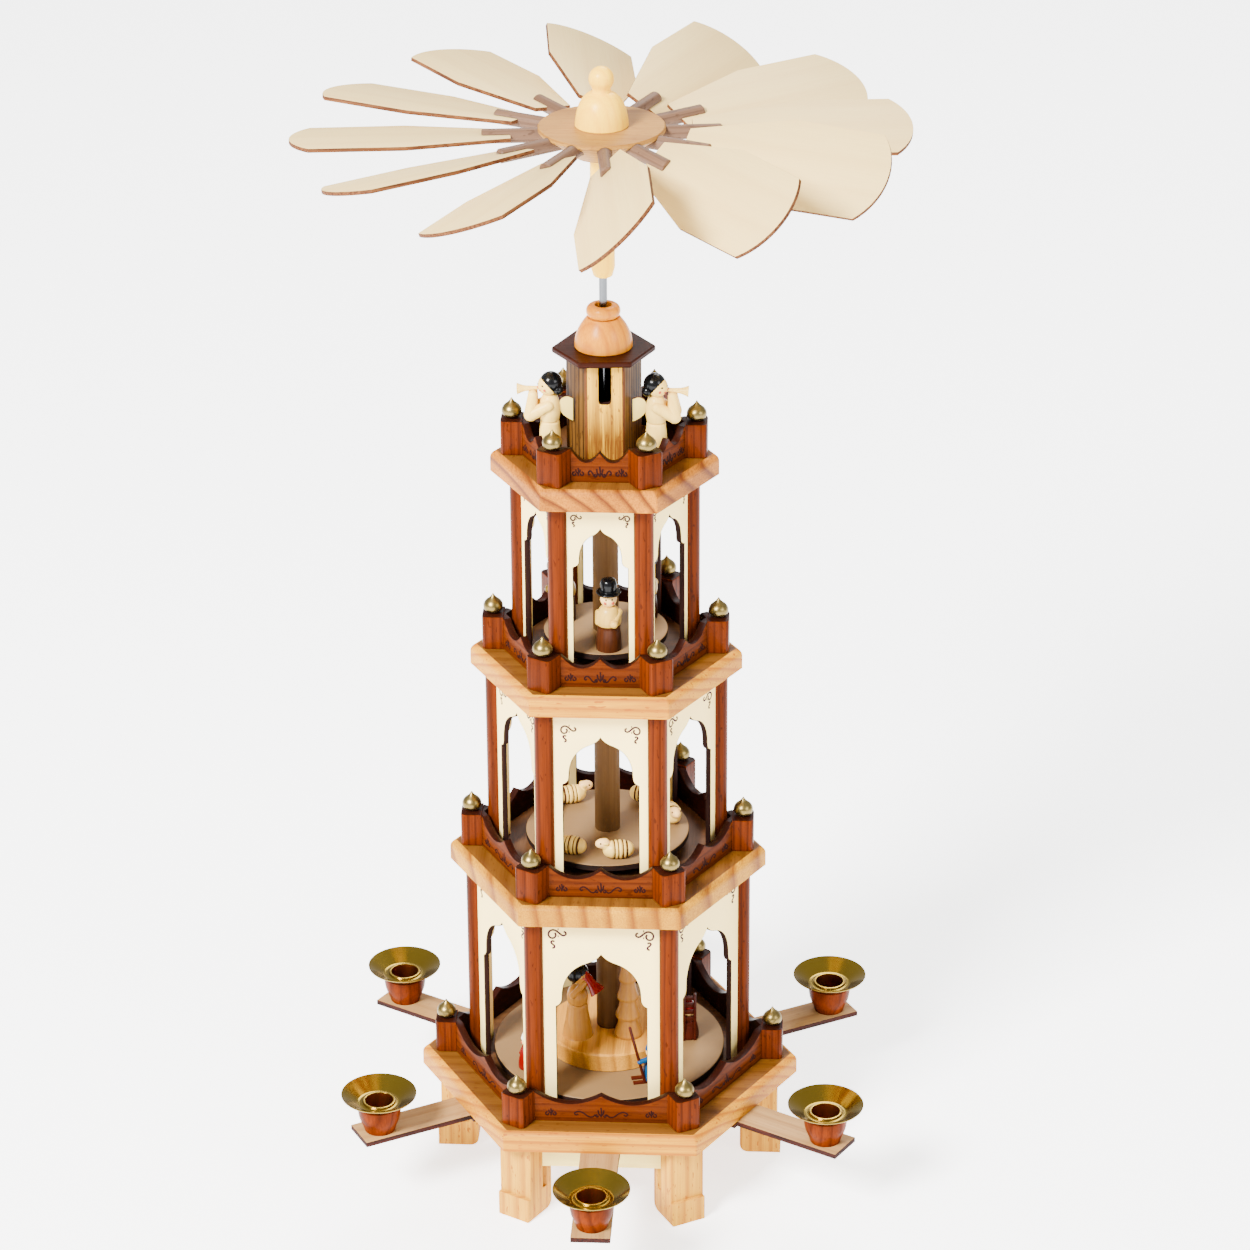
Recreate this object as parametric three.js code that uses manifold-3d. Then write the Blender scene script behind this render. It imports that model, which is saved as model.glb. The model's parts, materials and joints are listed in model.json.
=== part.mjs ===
// A candle-driven Christmas pyramid. Four hexagonal platforms stand one above the other with three
// storeys of turned figures between them. Warm air from six candles turns a wing wheel of twelve
// blades, and its steel shaft carries the turntables with the figures.
// Millimetres, +Z up. The origin is on the shaft's axis at the floor, and the front faces -Y.
// Every hexagon has two vertices on the X axis, so that one of its flat sides faces the front.
import * as THREE from "three";
import { mergeVertices } from "three/addons/utils/BufferGeometryUtils.js";
import Module from "manifold-3d";

const wasm = await Module();
wasm.setup();

// Driving dimensions: the platforms and the storeys on them, from the bottom up
const groundRadius = 99.2; // platform's centre to its vertex
const middleRadius = 81.9;
const upperRadius = 69.2;
const summitRadius = 57.2;
const groundStorey = 113; // clear height below the next platform
const middleStorey = 102;
const upperStorey = 96;
const levels = [
  {
    platformRadius: groundRadius,
    postInset: 13.2, // platform's vertex to the circle of the gallery posts
    dowelInset: 17.2, // circle of the posts to the circle of the dowels
    storeyHeight: groundStorey,
    jambWidth: 6.2, // arch panel between a dowel and the opening
    archDrop: 21.1, // ceiling to the arch's tip
    archRise: 30.6, // springing to the arch's tip
    discInset: 8.3, // circle of the dowels to the turntable's edge
    discLift: 2.2, // platform to the turntable's underside
  },
  {
    platformRadius: middleRadius,
    postInset: 11.9,
    dowelInset: 13.3,
    storeyHeight: middleStorey,
    jambWidth: 4.3,
    archDrop: 15.8,
    archRise: 26.5,
    discInset: 14.7,
    discLift: 5.8,
  },
  {
    platformRadius: upperRadius,
    postInset: 12.3,
    dowelInset: 14.4,
    storeyHeight: upperStorey,
    jambWidth: 2.7,
    archDrop: 14.2,
    archRise: 20.8,
    discInset: 11.2,
    discLift: 6.9,
  },
  { platformRadius: summitRadius, postInset: 11.4 },
];
const platformThickness = 11;
const platformRounding = 4;

// Driving dimensions: galleries
const postWidth = 14;
const postDepth = 11;
const postHeight = 18;
const postRounding = 3;
const fenceThickness = 4;
const fenceSetback = 1.5; // line through the post centres to the fence's outer face
const fenceHeight = 17;
const fenceDip = 10.6;
const fencePoint = 15.6;
const finialRadius = 5;
const finialHeight = 10.4;

// Driving dimensions: arcades
const dowelRadius = 5;
const panelThickness = 3;
const springingStep = 3.1; // the opening narrows by this much on each side at the springing

// Driving dimensions: base
const legHeight = 45;
const legWidth = 19;
const legDepth = 19.5;
const legInset = 10.2; // platform's vertex to the leg's outer face
const legRounding = 5;
const plinthHeight = 13.5;
const plinthStep = 2;
const railInset = 13.9; // platform's side to the rail's outer face
const railThickness = 3;
const railHeight = 17;
const railTongue = 3; // how far a rail goes into a leg
const railSlotDepth = 8; // what the leg's slot shows below the rail

// Driving dimensions: candle holders
const armWidth = 20;
const armThickness = 2.8;
const armTail = 26; // from the rail inwards
const armNose = 12; // from the candle's axis outwards
const armStopLength = 12; // strip under the arm that stops it at the rail
const armStopThickness = 2;
const frontReach = 66.1; // platform's side to the candle's axis, at the front and the back
const sideReach = 47.1; // the same for the other four
const cupHeight = 15;
const cupFootRadius = 8;
const cupRimRadius = 11.5;
const cupFloor = 4;
const candleRadius = 7.25; // bore of the socket, for a 14 mm candle
const candleDepth = 12.6;
const trayRadius = 19.5;
const traySheet = 0.6;
const trayRise = 5.6;
const trayFloorRadius = 11.2;
const lipWidth = 1.25;
const lipHeight = 1.3;

// Driving dimensions: turret, roof and dome
const turretRadius = 18.8;
const turretHeight = 53.5;
const turretBore = 13;
const turretSlotWidth = 6.3;
const turretSlotDepth = 21.5;
const turretTurn = 5; // degrees that the turret and its roof stand askew
const roofRadius = 25.65;
const roofThickness = 3;
const domeRadius = 14.35;
const domeHeight = 15.5;
const domeNeck = 8.2;
const collarRadius = 8.5;
const collarHeight = 6.3;
const collarBore = 4.15;
const bushHeight = 4;

// Driving dimensions: shaft, spindles and turntables
const shaftRadius = 2;
const shaftPoint = 3;
const shaftShow = 15.2; // bare shaft between the collar and the wheel's sleeve
const bearingRadius = 6;
const bearingHeight = 6.2;
const bearingRecess = 5;
const bearingFloor = 1.5;
const spindleRadius = 6.5;
const spindleHeadroom = 3;
const discThickness = 3.5;
const stepRadius = 33;
const stepThickness = 10.3;

// Driving dimensions: wing wheel
const sleeveRadius = 5.95;
const sleeveHeight = 62.5;
const sleeveTaper = 1.2;
const hubRadius = 30.85;
const hubFootRadius = 14;
const hubHeight = 14.5;
const hubRim = 2;
const knobRadius = 13;
const knobHeight = 29.5;
const knobNeck = 4.7;
const ballRadius = 6.2;
const pegRadius = 3.6;
const pegLength = 38.5;
const pegRoot = 19.3; // wheel's axis to the peg's inner end
const pegDrop = 4.3; // hub's top face to the pegs' axis
const pegSlotLength = 13.8; // how far a blade goes into its peg
const bladeThickness = 2;
const bladeRootWidth = 20;
const bladeWidth = 47.6;
const bladeTipWidth = 46.8;
const bladeShoulder = 50.4; // blade's root to its widest place
const bladeTipBend = 9.6; // start of the blade's round end to its tip
const bladeLength = 106;
const bladePitch = [24, 30, 17, 14, 40, 41, 44, 20, 15, 7, 9, 7]; // degrees, as they were last set
const firstBladeAngle = 96.2; // degrees from +X, and the next ones follow clockwise

// Driving dimensions: figures
const angelHeight = 45.5;
const angelAside = 26.2; // shaft's axis to the angel's axis, sideways and to the front
const angelForward = 9;
const manHeight = 38.5;
const manRadius = 6.75;
const sheepLength = 16;
const sheepRadius = 5;
const dollHeight = 43;
const dollRadius = 7.9;
const treeHeight = 47;
const treeRadius = 7.6;
const childHeight = 24;
const childRadius = 5.5;

// Clearances
const seatGap = 0.3;
const slideGap = 0.3;
const runningGap = 0.25;
const shaftPassage = 2.5; // room round the shaft where nothing guides it

// Numbers of facets
const shaftSides = 12;
const dowelSides = 8;
const cupSides = 12;
const traySides = 12;
const finialSides = 6;
const figureSides = 7;
const figureRings = 4;
const discSides = 28;
const turnedSides = 14;
const curveSteps = 3;
const archSteps = 2;
const barSides = 4;

// Proportions of a hexagon
const sides = 6;
const flatShare = Math.cos(Math.PI / sides); // middle of a side over a vertex
const sideTurn = (2 * Math.PI) / sides;
const degree = Math.PI / 180;

// Heights and radii that follow from the driving dimensions
let underside = legHeight;
for (const level of levels) {
  level.underside = underside;
  level.top = underside + platformThickness;
  level.postCircle = level.platformRadius - level.postInset;
  level.dowelCircle = level.postCircle - (level.dowelInset ?? 0);
  level.discBottom = level.top + (level.discLift ?? 0);
  level.discTop = level.discBottom + discThickness;
  level.discRadius = level.dowelCircle - (level.discInset ?? 0);
  underside = level.top + (level.storeyHeight ?? 0);
}
const [ground, middle, upper, summit] = levels;
const stepTop = ground.discTop + stepThickness;
const roofBottom = summit.top + turretHeight;
const domeBottom = roofBottom + roofThickness;
const collarBottom = domeBottom + domeHeight;
const sleeveBottom = collarBottom + collarHeight + shaftShow;
const hubBottom = sleeveBottom + sleeveHeight;
const hubTop = hubBottom + hubHeight;
const pegHeight = hubTop - pegDrop;
const bearingBottom = ground.top - bearingRecess;
const shaftBottom = bearingBottom + bearingFloor + seatGap;
const shaftTop = hubTop - pegDrop - pegRadius - seatGap;
const shaftBore = shaftRadius + runningGap;
const platformSide = ground.platformRadius * flatShare;

// Materials
const wood = (color, roughness = 0.6) =>
  new THREE.MeshStandardMaterial({ color, roughness, metalness: 0 });
const metal = (color, roughness) =>
  new THREE.MeshStandardMaterial({ color, roughness, metalness: 1 });
const pine = wood("#dcb98a");
const stainedWood = wood("#9a4a1c", 0.4);
const ivoryWood = wood("#ece0c8");
const plywood = wood("#e3d0ac");
const turnedWood = wood("#d9ab72", 0.5);
const pegWood = wood("#b89a80");
const roofWood = wood("#4a1f14", 0.45);
const spindleWood = wood("#7d5f42", 0.8);
const discPaint = wood("#b9aa98");
const figureWood = wood("#dcb585", 0.5);
const redPaint = wood("#b01818", 0.3);
const bluePaint = wood("#2d6f9c", 0.4);
const brownPaint = wood("#5a2a1c", 0.4);
const steel = metal("#a9abae", 0.25);
const brass = metal("#b8923c", 0.25);

// A closed geometry as a solid that can be joined and cut
function solid(geometry) {
  const bare = geometry.clone();
  bare.deleteAttribute("normal");
  bare.deleteAttribute("uv");
  const merged = mergeVertices(bare, 1e-4);
  return new wasm.Manifold(
    new wasm.Mesh({
      numProp: 3,
      vertProperties: merged.getAttribute("position").array,
      triVerts: new Uint32Array(merged.index.array),
    }),
  );
}

// All solids of a list as one
function join(solids) {
  return solids.reduce((whole, one) => whole.add(one));
}

// A solid as a three.js geometry
function geometryOf(shape) {
  const mesh = shape.getMesh();
  const geometry = new THREE.BufferGeometry();
  geometry.setAttribute("position", new THREE.BufferAttribute(mesh.vertProperties, 3));
  geometry.setIndex(new THREE.BufferAttribute(mesh.triVerts, 1));
  const faceted = geometry.toNonIndexed();
  faceted.computeVertexNormals();
  return faceted;
}

// A profile of [radius, height] points turned round the Z axis, with a vertex on the X axis
function turned(profile, facets) {
  const points = profile.map(([radius, height]) => new THREE.Vector2(radius, height));
  return solid(new THREE.LatheGeometry(points, facets, Math.PI / 2).rotateX(Math.PI / 2));
}

// A round or hexagonal plug between two heights
function plug(radius, bottom, top, facets) {
  return turned([[0, bottom], [radius, bottom], [radius, top], [0, top]], facets);
}

// The same for a hole, with the flats of its facets on the radius
function bore(radius, bottom, top, facets = shaftSides) {
  return plug(radius / Math.cos(Math.PI / facets), bottom, top, facets);
}

// A rod along X between two distances from the Z axis
function radialRod(radius, start, end, facets) {
  const rod = new THREE.CylinderGeometry(radius, radius, end - start, facets);
  return solid(rod.rotateZ(-Math.PI / 2).translate((start + end) / 2, 0, 0));
}

// A box from its size and the centre of its underside
function block(length, width, height, x, y, bottom) {
  return solid(new THREE.BoxGeometry(length, width, height).translate(x, y, bottom + height / 2));
}

// A ball, stretched by a factor along each axis
function ball(radius, [x, y, z], [stretchX, stretchY, stretchZ] = [1, 1, 1]) {
  const sphere = new THREE.SphereGeometry(radius, figureSides, figureRings).rotateX(Math.PI / 2);
  return solid(sphere.scale(stretchX, stretchY, stretchZ).translate(x, y, z));
}

// A round bar between two points, which may taper
function bar(start, end, startRadius, endRadius, facets = barSides) {
  const from = new THREE.Vector3(...start);
  const along = new THREE.Vector3(...end).sub(from);
  const length = along.length();
  const turn = new THREE.Quaternion().setFromUnitVectors(
    new THREE.Vector3(0, 1, 0),
    along.clone().normalize(),
  );
  const rod = new THREE.CylinderGeometry(endRadius, startRadius, length, facets);
  rod.translate(0, length / 2, 0).applyQuaternion(turn).translate(from.x, from.y, from.z);
  return solid(rod);
}

// An outline in the plane of a side (x along it, y up) as a plate, with its outer face at a
// distance from the axis
function sidePlate(outline, thickness, outerFace, segments = curveSteps) {
  const options = { depth: thickness, bevelEnabled: false, curveSegments: segments };
  const plate = new THREE.ExtrudeGeometry(outline, options).rotateX(Math.PI / 2);
  return solid(plate.translate(0, thickness - outerFace, 0));
}

// An outline in a plane through the axis (x outwards, y up) as a plate of even thickness
function radialPlate(outline, thickness, segments = curveSteps) {
  const options = { depth: thickness, bevelEnabled: false, curveSegments: segments };
  const plate = new THREE.ExtrudeGeometry(outline, options).rotateX(Math.PI / 2);
  return solid(plate.translate(0, thickness / 2, 0));
}

// Copies of a solid round the Z axis, starting from an angle in radians
function aroundAxis(shape, start, count = sides) {
  const turns = Array.from({ length: count }, (_, i) => start + (i * 2 * Math.PI) / count);
  return turns.map((turn) => shape.rotate([0, 0, turn / degree]));
}

// A figure moved to a place on a turntable, turned to face a direction
function standAt(shape, radius, angle, bottom, facing = angle) {
  const x = radius * Math.cos(angle * degree);
  const y = radius * Math.sin(angle * degree);
  return shape.rotate([0, 0, facing]).translate([x, y, bottom]);
}

// A hexagonal platform with a rounded upper edge, lying on z = 0
function platform(level) {
  const radius = level.platformRadius;
  const steps = 3;
  const profile = [[0, 0], [radius, 0]];
  for (let i = 0; i <= steps; i++) {
    const turn = ((i / steps) * Math.PI) / 2;
    const inwards = (platformRounding * (1 - Math.cos(turn))) / flatShare;
    profile.push([radius - inwards, platformThickness - platformRounding * (1 - Math.sin(turn))]);
  }
  profile.push([0, platformThickness]);
  const plate = turned(profile, sides);
  if (level === ground) {
    const recess = bearingRadius + slideGap;
    const recessFloor = platformThickness - bearingRecess;
    return plate.subtract(bore(recess, recessFloor, platformThickness + 1));
  }
  return plate.subtract(bore(shaftRadius + shaftPassage, -1, platformThickness + 1));
}

// The fence of a gallery side: two scallops that meet in a point at the middle
function fenceOutline(halfLength, halfScallop) {
  const outline = new THREE.Shape();
  const control = 2 * fenceDip - (fenceHeight + fencePoint) / 2;
  outline.moveTo(-halfLength, 0);
  outline.lineTo(halfLength, 0);
  outline.lineTo(halfLength, fenceHeight);
  outline.lineTo(halfScallop, fenceHeight);
  outline.quadraticCurveTo(halfScallop / 2, control, 0, fencePoint);
  outline.quadraticCurveTo(-halfScallop / 2, control, -halfScallop, fenceHeight);
  outline.lineTo(-halfLength, fenceHeight);
  return outline;
}

// A gallery post with its outer corners rounded, on the X axis at the post circle
function post(postCircle) {
  const inner = postCircle - postDepth / 2;
  const outer = postCircle + postDepth / 2;
  const half = postWidth / 2;
  const outline = new THREE.Shape();
  outline.moveTo(inner, -half);
  outline.lineTo(outer - postRounding, -half);
  outline.quadraticCurveTo(outer, -half, outer, postRounding - half);
  outline.lineTo(outer, half - postRounding);
  outline.quadraticCurveTo(outer, half, outer - postRounding, half);
  outline.lineTo(inner, half);
  const options = { depth: postHeight, bevelEnabled: false, curveSegments: 1 };
  return solid(new THREE.ExtrudeGeometry(outline, options));
}

// An onion-shaped finial that stands on a post
function finial(postCircle) {
  const profile = [
    [0, -0.5],
    [0.6 * finialRadius, -0.5],
    [finialRadius, 0.34 * finialHeight],
    [0.35 * finialRadius, 0.74 * finialHeight],
    [0, finialHeight],
  ];
  return turned(profile, finialSides).translate([postCircle, 0, postHeight]);
}

// The gallery round a platform: posts, fences and finials, standing on z = 0
function gallery(level) {
  const circle = level.postCircle;
  const halfLength = circle / 2 - postDepth / 4;
  const halfScallop = circle / 2 - postWidth / 2 - fenceThickness / 2;
  const outerFace = circle * flatShare - fenceSetback;
  const fence = sidePlate(fenceOutline(halfLength, halfScallop), fenceThickness, outerFace);
  return join([
    ...aroundAxis(post(circle).add(finial(circle)), 0),
    ...aroundAxis(fence, 0),
  ]);
}

// An arch panel: an ogee over shoulders, with a small step in at the springing
function archOutline(level) {
  const height = level.storeyHeight;
  const halfPanel = level.dowelCircle / 2 - dowelRadius / 2;
  const jamb = level.dowelCircle / 2 - dowelRadius - level.jambWidth;
  const shoulder = jamb - springingStep;
  const tip = height - level.archDrop;
  const springing = tip - level.archRise;
  const rise = level.archRise;
  const ogee = 0.4 * shoulder;
  const outline = new THREE.Shape();
  outline.moveTo(jamb, 0);
  outline.lineTo(halfPanel, 0);
  outline.lineTo(halfPanel, height);
  outline.lineTo(-halfPanel, height);
  outline.lineTo(-halfPanel, 0);
  outline.lineTo(-jamb, 0);
  outline.lineTo(-jamb, springing);
  outline.quadraticCurveTo(-shoulder, springing + 0.04 * rise, -shoulder, springing + 0.18 * rise);
  outline.bezierCurveTo(
    -shoulder,
    tip - 0.49 * rise,
    -0.77 * shoulder,
    tip - 0.28 * rise,
    -ogee,
    tip - 0.18 * rise,
  );
  outline.quadraticCurveTo(-0.3 * ogee, tip - 0.12 * rise, 0, tip);
  outline.quadraticCurveTo(0.3 * ogee, tip - 0.12 * rise, ogee, tip - 0.18 * rise);
  outline.bezierCurveTo(
    0.77 * shoulder,
    tip - 0.28 * rise,
    shoulder,
    tip - 0.49 * rise,
    shoulder,
    springing + 0.18 * rise,
  );
  outline.quadraticCurveTo(shoulder, springing + 0.04 * rise, jamb, springing);
  return outline;
}

// An arcade: six dowels with an arch panel let into each pair, standing on z = 0
function arcade(level) {
  const dowel = plug(dowelRadius, 0, level.storeyHeight, dowelSides);
  const outerFace = level.dowelCircle * flatShare + panelThickness / 2;
  const panel = sidePlate(archOutline(level), panelThickness, outerFace, archSteps);
  return join([
    ...aroundAxis(dowel.translate([level.dowelCircle, 0, 0]), 0),
    ...aroundAxis(panel, 0),
  ]);
}

// A leg: a radial block with a plinth, its inner foot rounded
function legOutline(outer) {
  const inner = outer - legDepth;
  const outline = new THREE.Shape();
  outline.moveTo(inner + legRounding, 0);
  outline.lineTo(outer + plinthStep, 0);
  outline.lineTo(outer + plinthStep, plinthHeight);
  outline.lineTo(outer, plinthHeight);
  outline.lineTo(outer, legHeight);
  outline.lineTo(inner, legHeight);
  outline.lineTo(inner, legRounding);
  outline.quadraticCurveTo(inner, 0, inner + legRounding, 0);
  return outline;
}

// The base: six legs joined by rails, which are let into slots in the legs and notched for the arms
function legFrame() {
  const legOuter = ground.platformRadius - legInset;
  const railOuter = platformSide - railInset;
  const railMiddle = railOuter - railThickness / 2;
  const legSide = railMiddle * Math.tan(sideTurn / 2) - legWidth / 2 / flatShare;
  const railHalf = legSide + railTongue;
  const railBottom = legHeight - railHeight;
  const notchWidth = armWidth + 2 * slideGap;
  const notchDepth = armThickness + slideGap;
  const rail = block(2 * railHalf, railThickness, railHeight, 0, -railMiddle, railBottom);
  const notch = block(
    notchWidth,
    railThickness + 2,
    notchDepth + 1,
    0,
    -railMiddle,
    legHeight - notchDepth,
  );
  const slot = block(
    2 * railHalf,
    railThickness,
    railSlotDepth + 1,
    0,
    -railMiddle,
    railBottom - railSlotDepth,
  );
  const legs = join(aroundAxis(radialPlate(legOutline(legOuter), legWidth), 0));
  const slotted = legs.subtract(join(aroundAxis(slot, 0)));
  return slotted.add(join(aroundAxis(rail.subtract(notch), 0)));
}

// A candle arm along +X with its turned cup and its stop; z = 0 is the arm's upper face
function candleArm(reach) {
  const axis = platformSide + reach;
  const start = platformSide - railInset - armTail;
  const end = axis + armNose;
  const strip = block(end - start, armWidth, armThickness, (start + end) / 2, 0, -armThickness);
  const stop = block(
    armStopLength,
    armWidth,
    armStopThickness + armThickness / 2,
    platformSide - railInset + seatGap + armStopLength / 2,
    0,
    -armThickness - armStopThickness,
  );
  const wellRadius = candleRadius + traySheet + seatGap;
  const rimBore = wellRadius / Math.cos(Math.PI / cupSides);
  const cup = turned(
    [
      [0, -armThickness / 2],
      [cupFootRadius, -armThickness / 2],
      [cupFootRadius, 0],
      [cupFootRadius + 0.75 * (cupRimRadius - cupFootRadius), 0.5 * cupHeight],
      [cupRimRadius, cupHeight],
      [rimBore, cupHeight],
      [rimBore, cupFloor],
      [0, cupFloor],
    ],
    cupSides,
  );
  return join([strip, stop, cup.translate([axis, 0, 0])]);
}

// A brass drip tray: a socket for the candle in the middle of a conical dish
function dripTray() {
  const wellBottom = cupFloor + seatGap;
  const dishBottom = cupHeight + seatGap;
  const dishFloor = dishBottom + traySheet;
  const lipTop = dishFloor + lipHeight;
  const socketFloor = Math.max(lipTop - candleDepth, wellBottom + traySheet);
  return turned(
    [
      [0, wellBottom],
      [candleRadius + traySheet, wellBottom],
      [candleRadius + traySheet, dishBottom],
      [trayFloorRadius, dishBottom],
      [trayRadius, dishBottom + trayRise],
      [trayRadius, dishFloor + trayRise],
      [trayFloorRadius, dishFloor],
      [candleRadius + lipWidth, dishFloor],
      [candleRadius + lipWidth, lipTop],
      [candleRadius, lipTop],
      [candleRadius, socketFloor],
      [0, socketFloor],
    ],
    traySides,
  );
}

// The turret: a hexagonal tube with a slot at the front and the back
function turret() {
  const body = plug(turretRadius, 0, turretHeight, sides);
  const slot = block(
    turretSlotWidth,
    3 * turretRadius,
    turretSlotDepth + 1,
    0,
    0,
    turretHeight - turretSlotDepth,
  );
  return body.subtract(bore(turretBore, -1, turretHeight + 1, 20)).subtract(slot);
}

// A turned dome that narrows to a neck, with the bore for the shaft's guide
function dome() {
  const curve = new THREE.CubicBezierCurve(
    new THREE.Vector2(domeRadius, 0),
    new THREE.Vector2(domeRadius, 0.45 * domeHeight),
    new THREE.Vector2(0.8 * domeRadius, 0.75 * domeHeight),
    new THREE.Vector2(domeNeck, domeHeight),
  );
  const outside = curve.getPoints(4).map((point) => [point.x, point.y]);
  const body = turned([[0, 0], ...outside, [0, domeHeight]], turnedSides);
  return body.subtract(bore(collarBore, -1, domeHeight + 1));
}

// The round collar on the dome
function collar() {
  const half = collarHeight / 2;
  const inner = collarBore / Math.cos(Math.PI / turnedSides);
  const profile = [[inner, 0]];
  for (let i = 0; i <= 4; i++) {
    const turn = (i / 4 - 0.5) * Math.PI;
    profile.push([collarRadius - half * (1 - Math.cos(turn)) * 0.8, half + half * Math.sin(turn)]);
  }
  profile.push([inner, collarHeight], [inner, 0]);
  return turned(profile, turnedSides);
}

// A ring that fits round the shaft
function ring(inner, outer, height, facets = shaftSides) {
  return turned([[0, 0], [outer, 0], [outer, height], [0, height]], facets).subtract(
    bore(inner, -1, height + 1),
  );
}

// The bearing cup, in whose cone the shaft's point turns
function bearingCup() {
  const cone = bearingFloor + shaftPoint;
  return turned(
    [
      [0, 0],
      [bearingRadius, 0],
      [bearingRadius, bearingHeight],
      [shaftBore + seatGap, bearingHeight],
      [shaftBore + seatGap, cone],
      [0, bearingFloor],
    ],
    shaftSides,
  );
}

// The steel shaft with its point, from z = 0 up
function shaft() {
  const length = shaftTop - shaftBottom;
  return turned([[0, 0], [shaftRadius, shaftPoint], [shaftRadius, length], [0, length]], shaftSides);
}

// The wheel's hub: a disc with a bevelled underside and twelve bored seats for the pegs
function wingHub() {
  const body = turned(
    [
      [0, 0],
      [hubFootRadius, 0],
      [hubRadius, hubHeight - hubRim],
      [hubRadius, hubHeight],
      [0, hubHeight],
    ],
    discSides,
  );
  const seatRadius = (pegRadius + runningGap) / Math.cos(Math.PI / dowelSides);
  const seat = radialRod(seatRadius, pegRoot - seatGap, hubRadius + 1, dowelSides);
  const seats = aroundAxis(
    seat.translate([0, 0, hubHeight - pegDrop]),
    firstBladeAngle * degree,
    bladePitch.length,
  );
  const boreTop = shaftTop + seatGap - hubBottom;
  return body.subtract(join(seats)).subtract(bore(shaftBore, -1, boreTop));
}

// The knob on the hub: a bell under a ball
function hubKnob() {
  const ballCentre = knobHeight - ballRadius;
  const neckHeight = ballCentre - Math.sqrt(ballRadius ** 2 - knobNeck ** 2);
  const bell = new THREE.CubicBezierCurve(
    new THREE.Vector2(knobRadius, 0),
    new THREE.Vector2(0.95 * knobRadius, 0.5 * neckHeight),
    new THREE.Vector2(0.8 * knobRadius, 0.9 * neckHeight),
    new THREE.Vector2(knobNeck, neckHeight),
  );
  const profile = [[0, 0], ...bell.getPoints(5).map((point) => [point.x, point.y])];
  const start = -Math.acos(knobNeck / ballRadius);
  const steps = 6;
  for (let i = 1; i < steps; i++) {
    const turn = start + (i / steps) * (Math.PI / 2 - start);
    profile.push([ballRadius * Math.cos(turn), ballCentre + ballRadius * Math.sin(turn)]);
  }
  profile.push([0, knobHeight]);
  return turned(profile, turnedSides);
}

// The sleeve round the shaft under the hub, slightly tapered at its foot
function hubSleeve() {
  const body = turned(
    [
      [0, 0],
      [sleeveRadius - sleeveTaper, 0],
      [sleeveRadius, 4 * sleeveTaper],
      [sleeveRadius, sleeveHeight],
      [0, sleeveHeight],
    ],
    turnedSides,
  );
  return body.subtract(bore(shaftBore, -1, sleeveHeight + 1));
}

// A blade's outline from its root at x = 0: it widens to a shoulder and ends in an arc
function bladeOutline() {
  const halfTip = bladeTipWidth / 2;
  const straight = bladeLength - bladeTipBend;
  const arcRadius = (halfTip ** 2 + bladeTipBend ** 2) / (2 * bladeTipBend);
  const halfArc = Math.asin(Math.min(1, halfTip / arcRadius));
  const outline = new THREE.Shape();
  outline.moveTo(0, -bladeRootWidth / 2);
  outline.lineTo(bladeShoulder, -bladeWidth / 2);
  outline.lineTo(straight, -halfTip);
  outline.absarc(bladeLength - arcRadius, 0, arcRadius, -halfArc, halfArc, false);
  outline.lineTo(bladeShoulder, bladeWidth / 2);
  outline.lineTo(0, bladeRootWidth / 2);
  return outline;
}

// A paddle along +X: a blade set in the slot of its peg, which turns in the hub
function paddle() {
  const pegEnd = pegRoot + pegLength;
  const bladeRoot = pegEnd - pegSlotLength;
  const slot = block(
    pegSlotLength + 1,
    3 * pegRadius,
    bladeThickness + 2 * slideGap,
    bladeRoot + 1 + (pegSlotLength + 1) / 2,
    0,
    -bladeThickness / 2 - slideGap,
  );
  const peg = radialRod(pegRadius, pegRoot, pegEnd, dowelSides).subtract(slot);
  const options = { depth: bladeThickness, bevelEnabled: false, curveSegments: 5 };
  const blade = new THREE.ExtrudeGeometry(bladeOutline(), options);
  return peg.add(solid(blade.translate(bladeRoot, 0, -bladeThickness / 2)));
}

// A turntable disc round the shaft with its hub underneath, standing on z = 0
function turntable(level) {
  const disc = plug(level.discRadius, 0, discThickness, discSides);
  const footHeight = level.discLift - 1;
  const foot = plug(spindleRadius, -footHeight, 0.5, shaftSides);
  const whole = footHeight > 2 ? disc.add(foot) : disc;
  return whole.subtract(bore(shaftBore, -level.discLift, discThickness + 1));
}

// An angel facing +X: a turned body, a wing behind it and a trumpet held up to the mouth
function angel() {
  const scaled = (...place) => place.map((value) => (value * angelHeight) / 45.5);
  const [reach] = scaled(1);
  const body = turned(
    [
      [0, 0],
      [1.9, 0],
      [4.6, 7.5],
      [5.3, 13],
      [4.9, 18],
      [4.2, 20.5],
      [5.2, 24.5],
      [4.9, 30],
      [3, 34.5],
      [0, 35],
    ].map(([radius, height]) => scaled(radius, height)),
    figureSides,
  );
  const arms = [-1, 1].flatMap((side) => [
    bar(scaled(0, side * 4.4, 30), scaled(10.5, side * 4.6, 24.5), 2.4 * reach, 2.8 * reach),
    bar(scaled(10.5, side * 4.6, 23.5), scaled(7.5, side * 1.4, 35), 2.8 * reach, 1.8 * reach),
  ]);
  const wing = new THREE.Shape();
  wing.moveTo(...scaled(-11.6, 20.5));
  wing.quadraticCurveTo(...scaled(-5.4, 23, -4.4, 28));
  wing.quadraticCurveTo(...scaled(-4.8, 33.5, -9, 33.4));
  wing.lineTo(...scaled(-11.6, 32.4));
  return join([
    body,
    ball(5.7 * reach, scaled(0, 0, 39.8)),
    ball(2.6 * reach, scaled(-4.6, 0, 38.5)),
    ...arms,
    radialPlate(wing, 1.6 * reach),
    bar(scaled(4.6, 0, 37.5), scaled(13, 0, 37), 1.1 * reach, 1.6 * reach),
    bar(scaled(12.6, 0, 37), scaled(16, 0, 36.8), 1.6 * reach, 2.9 * reach, figureSides),
  ]);
}

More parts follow.
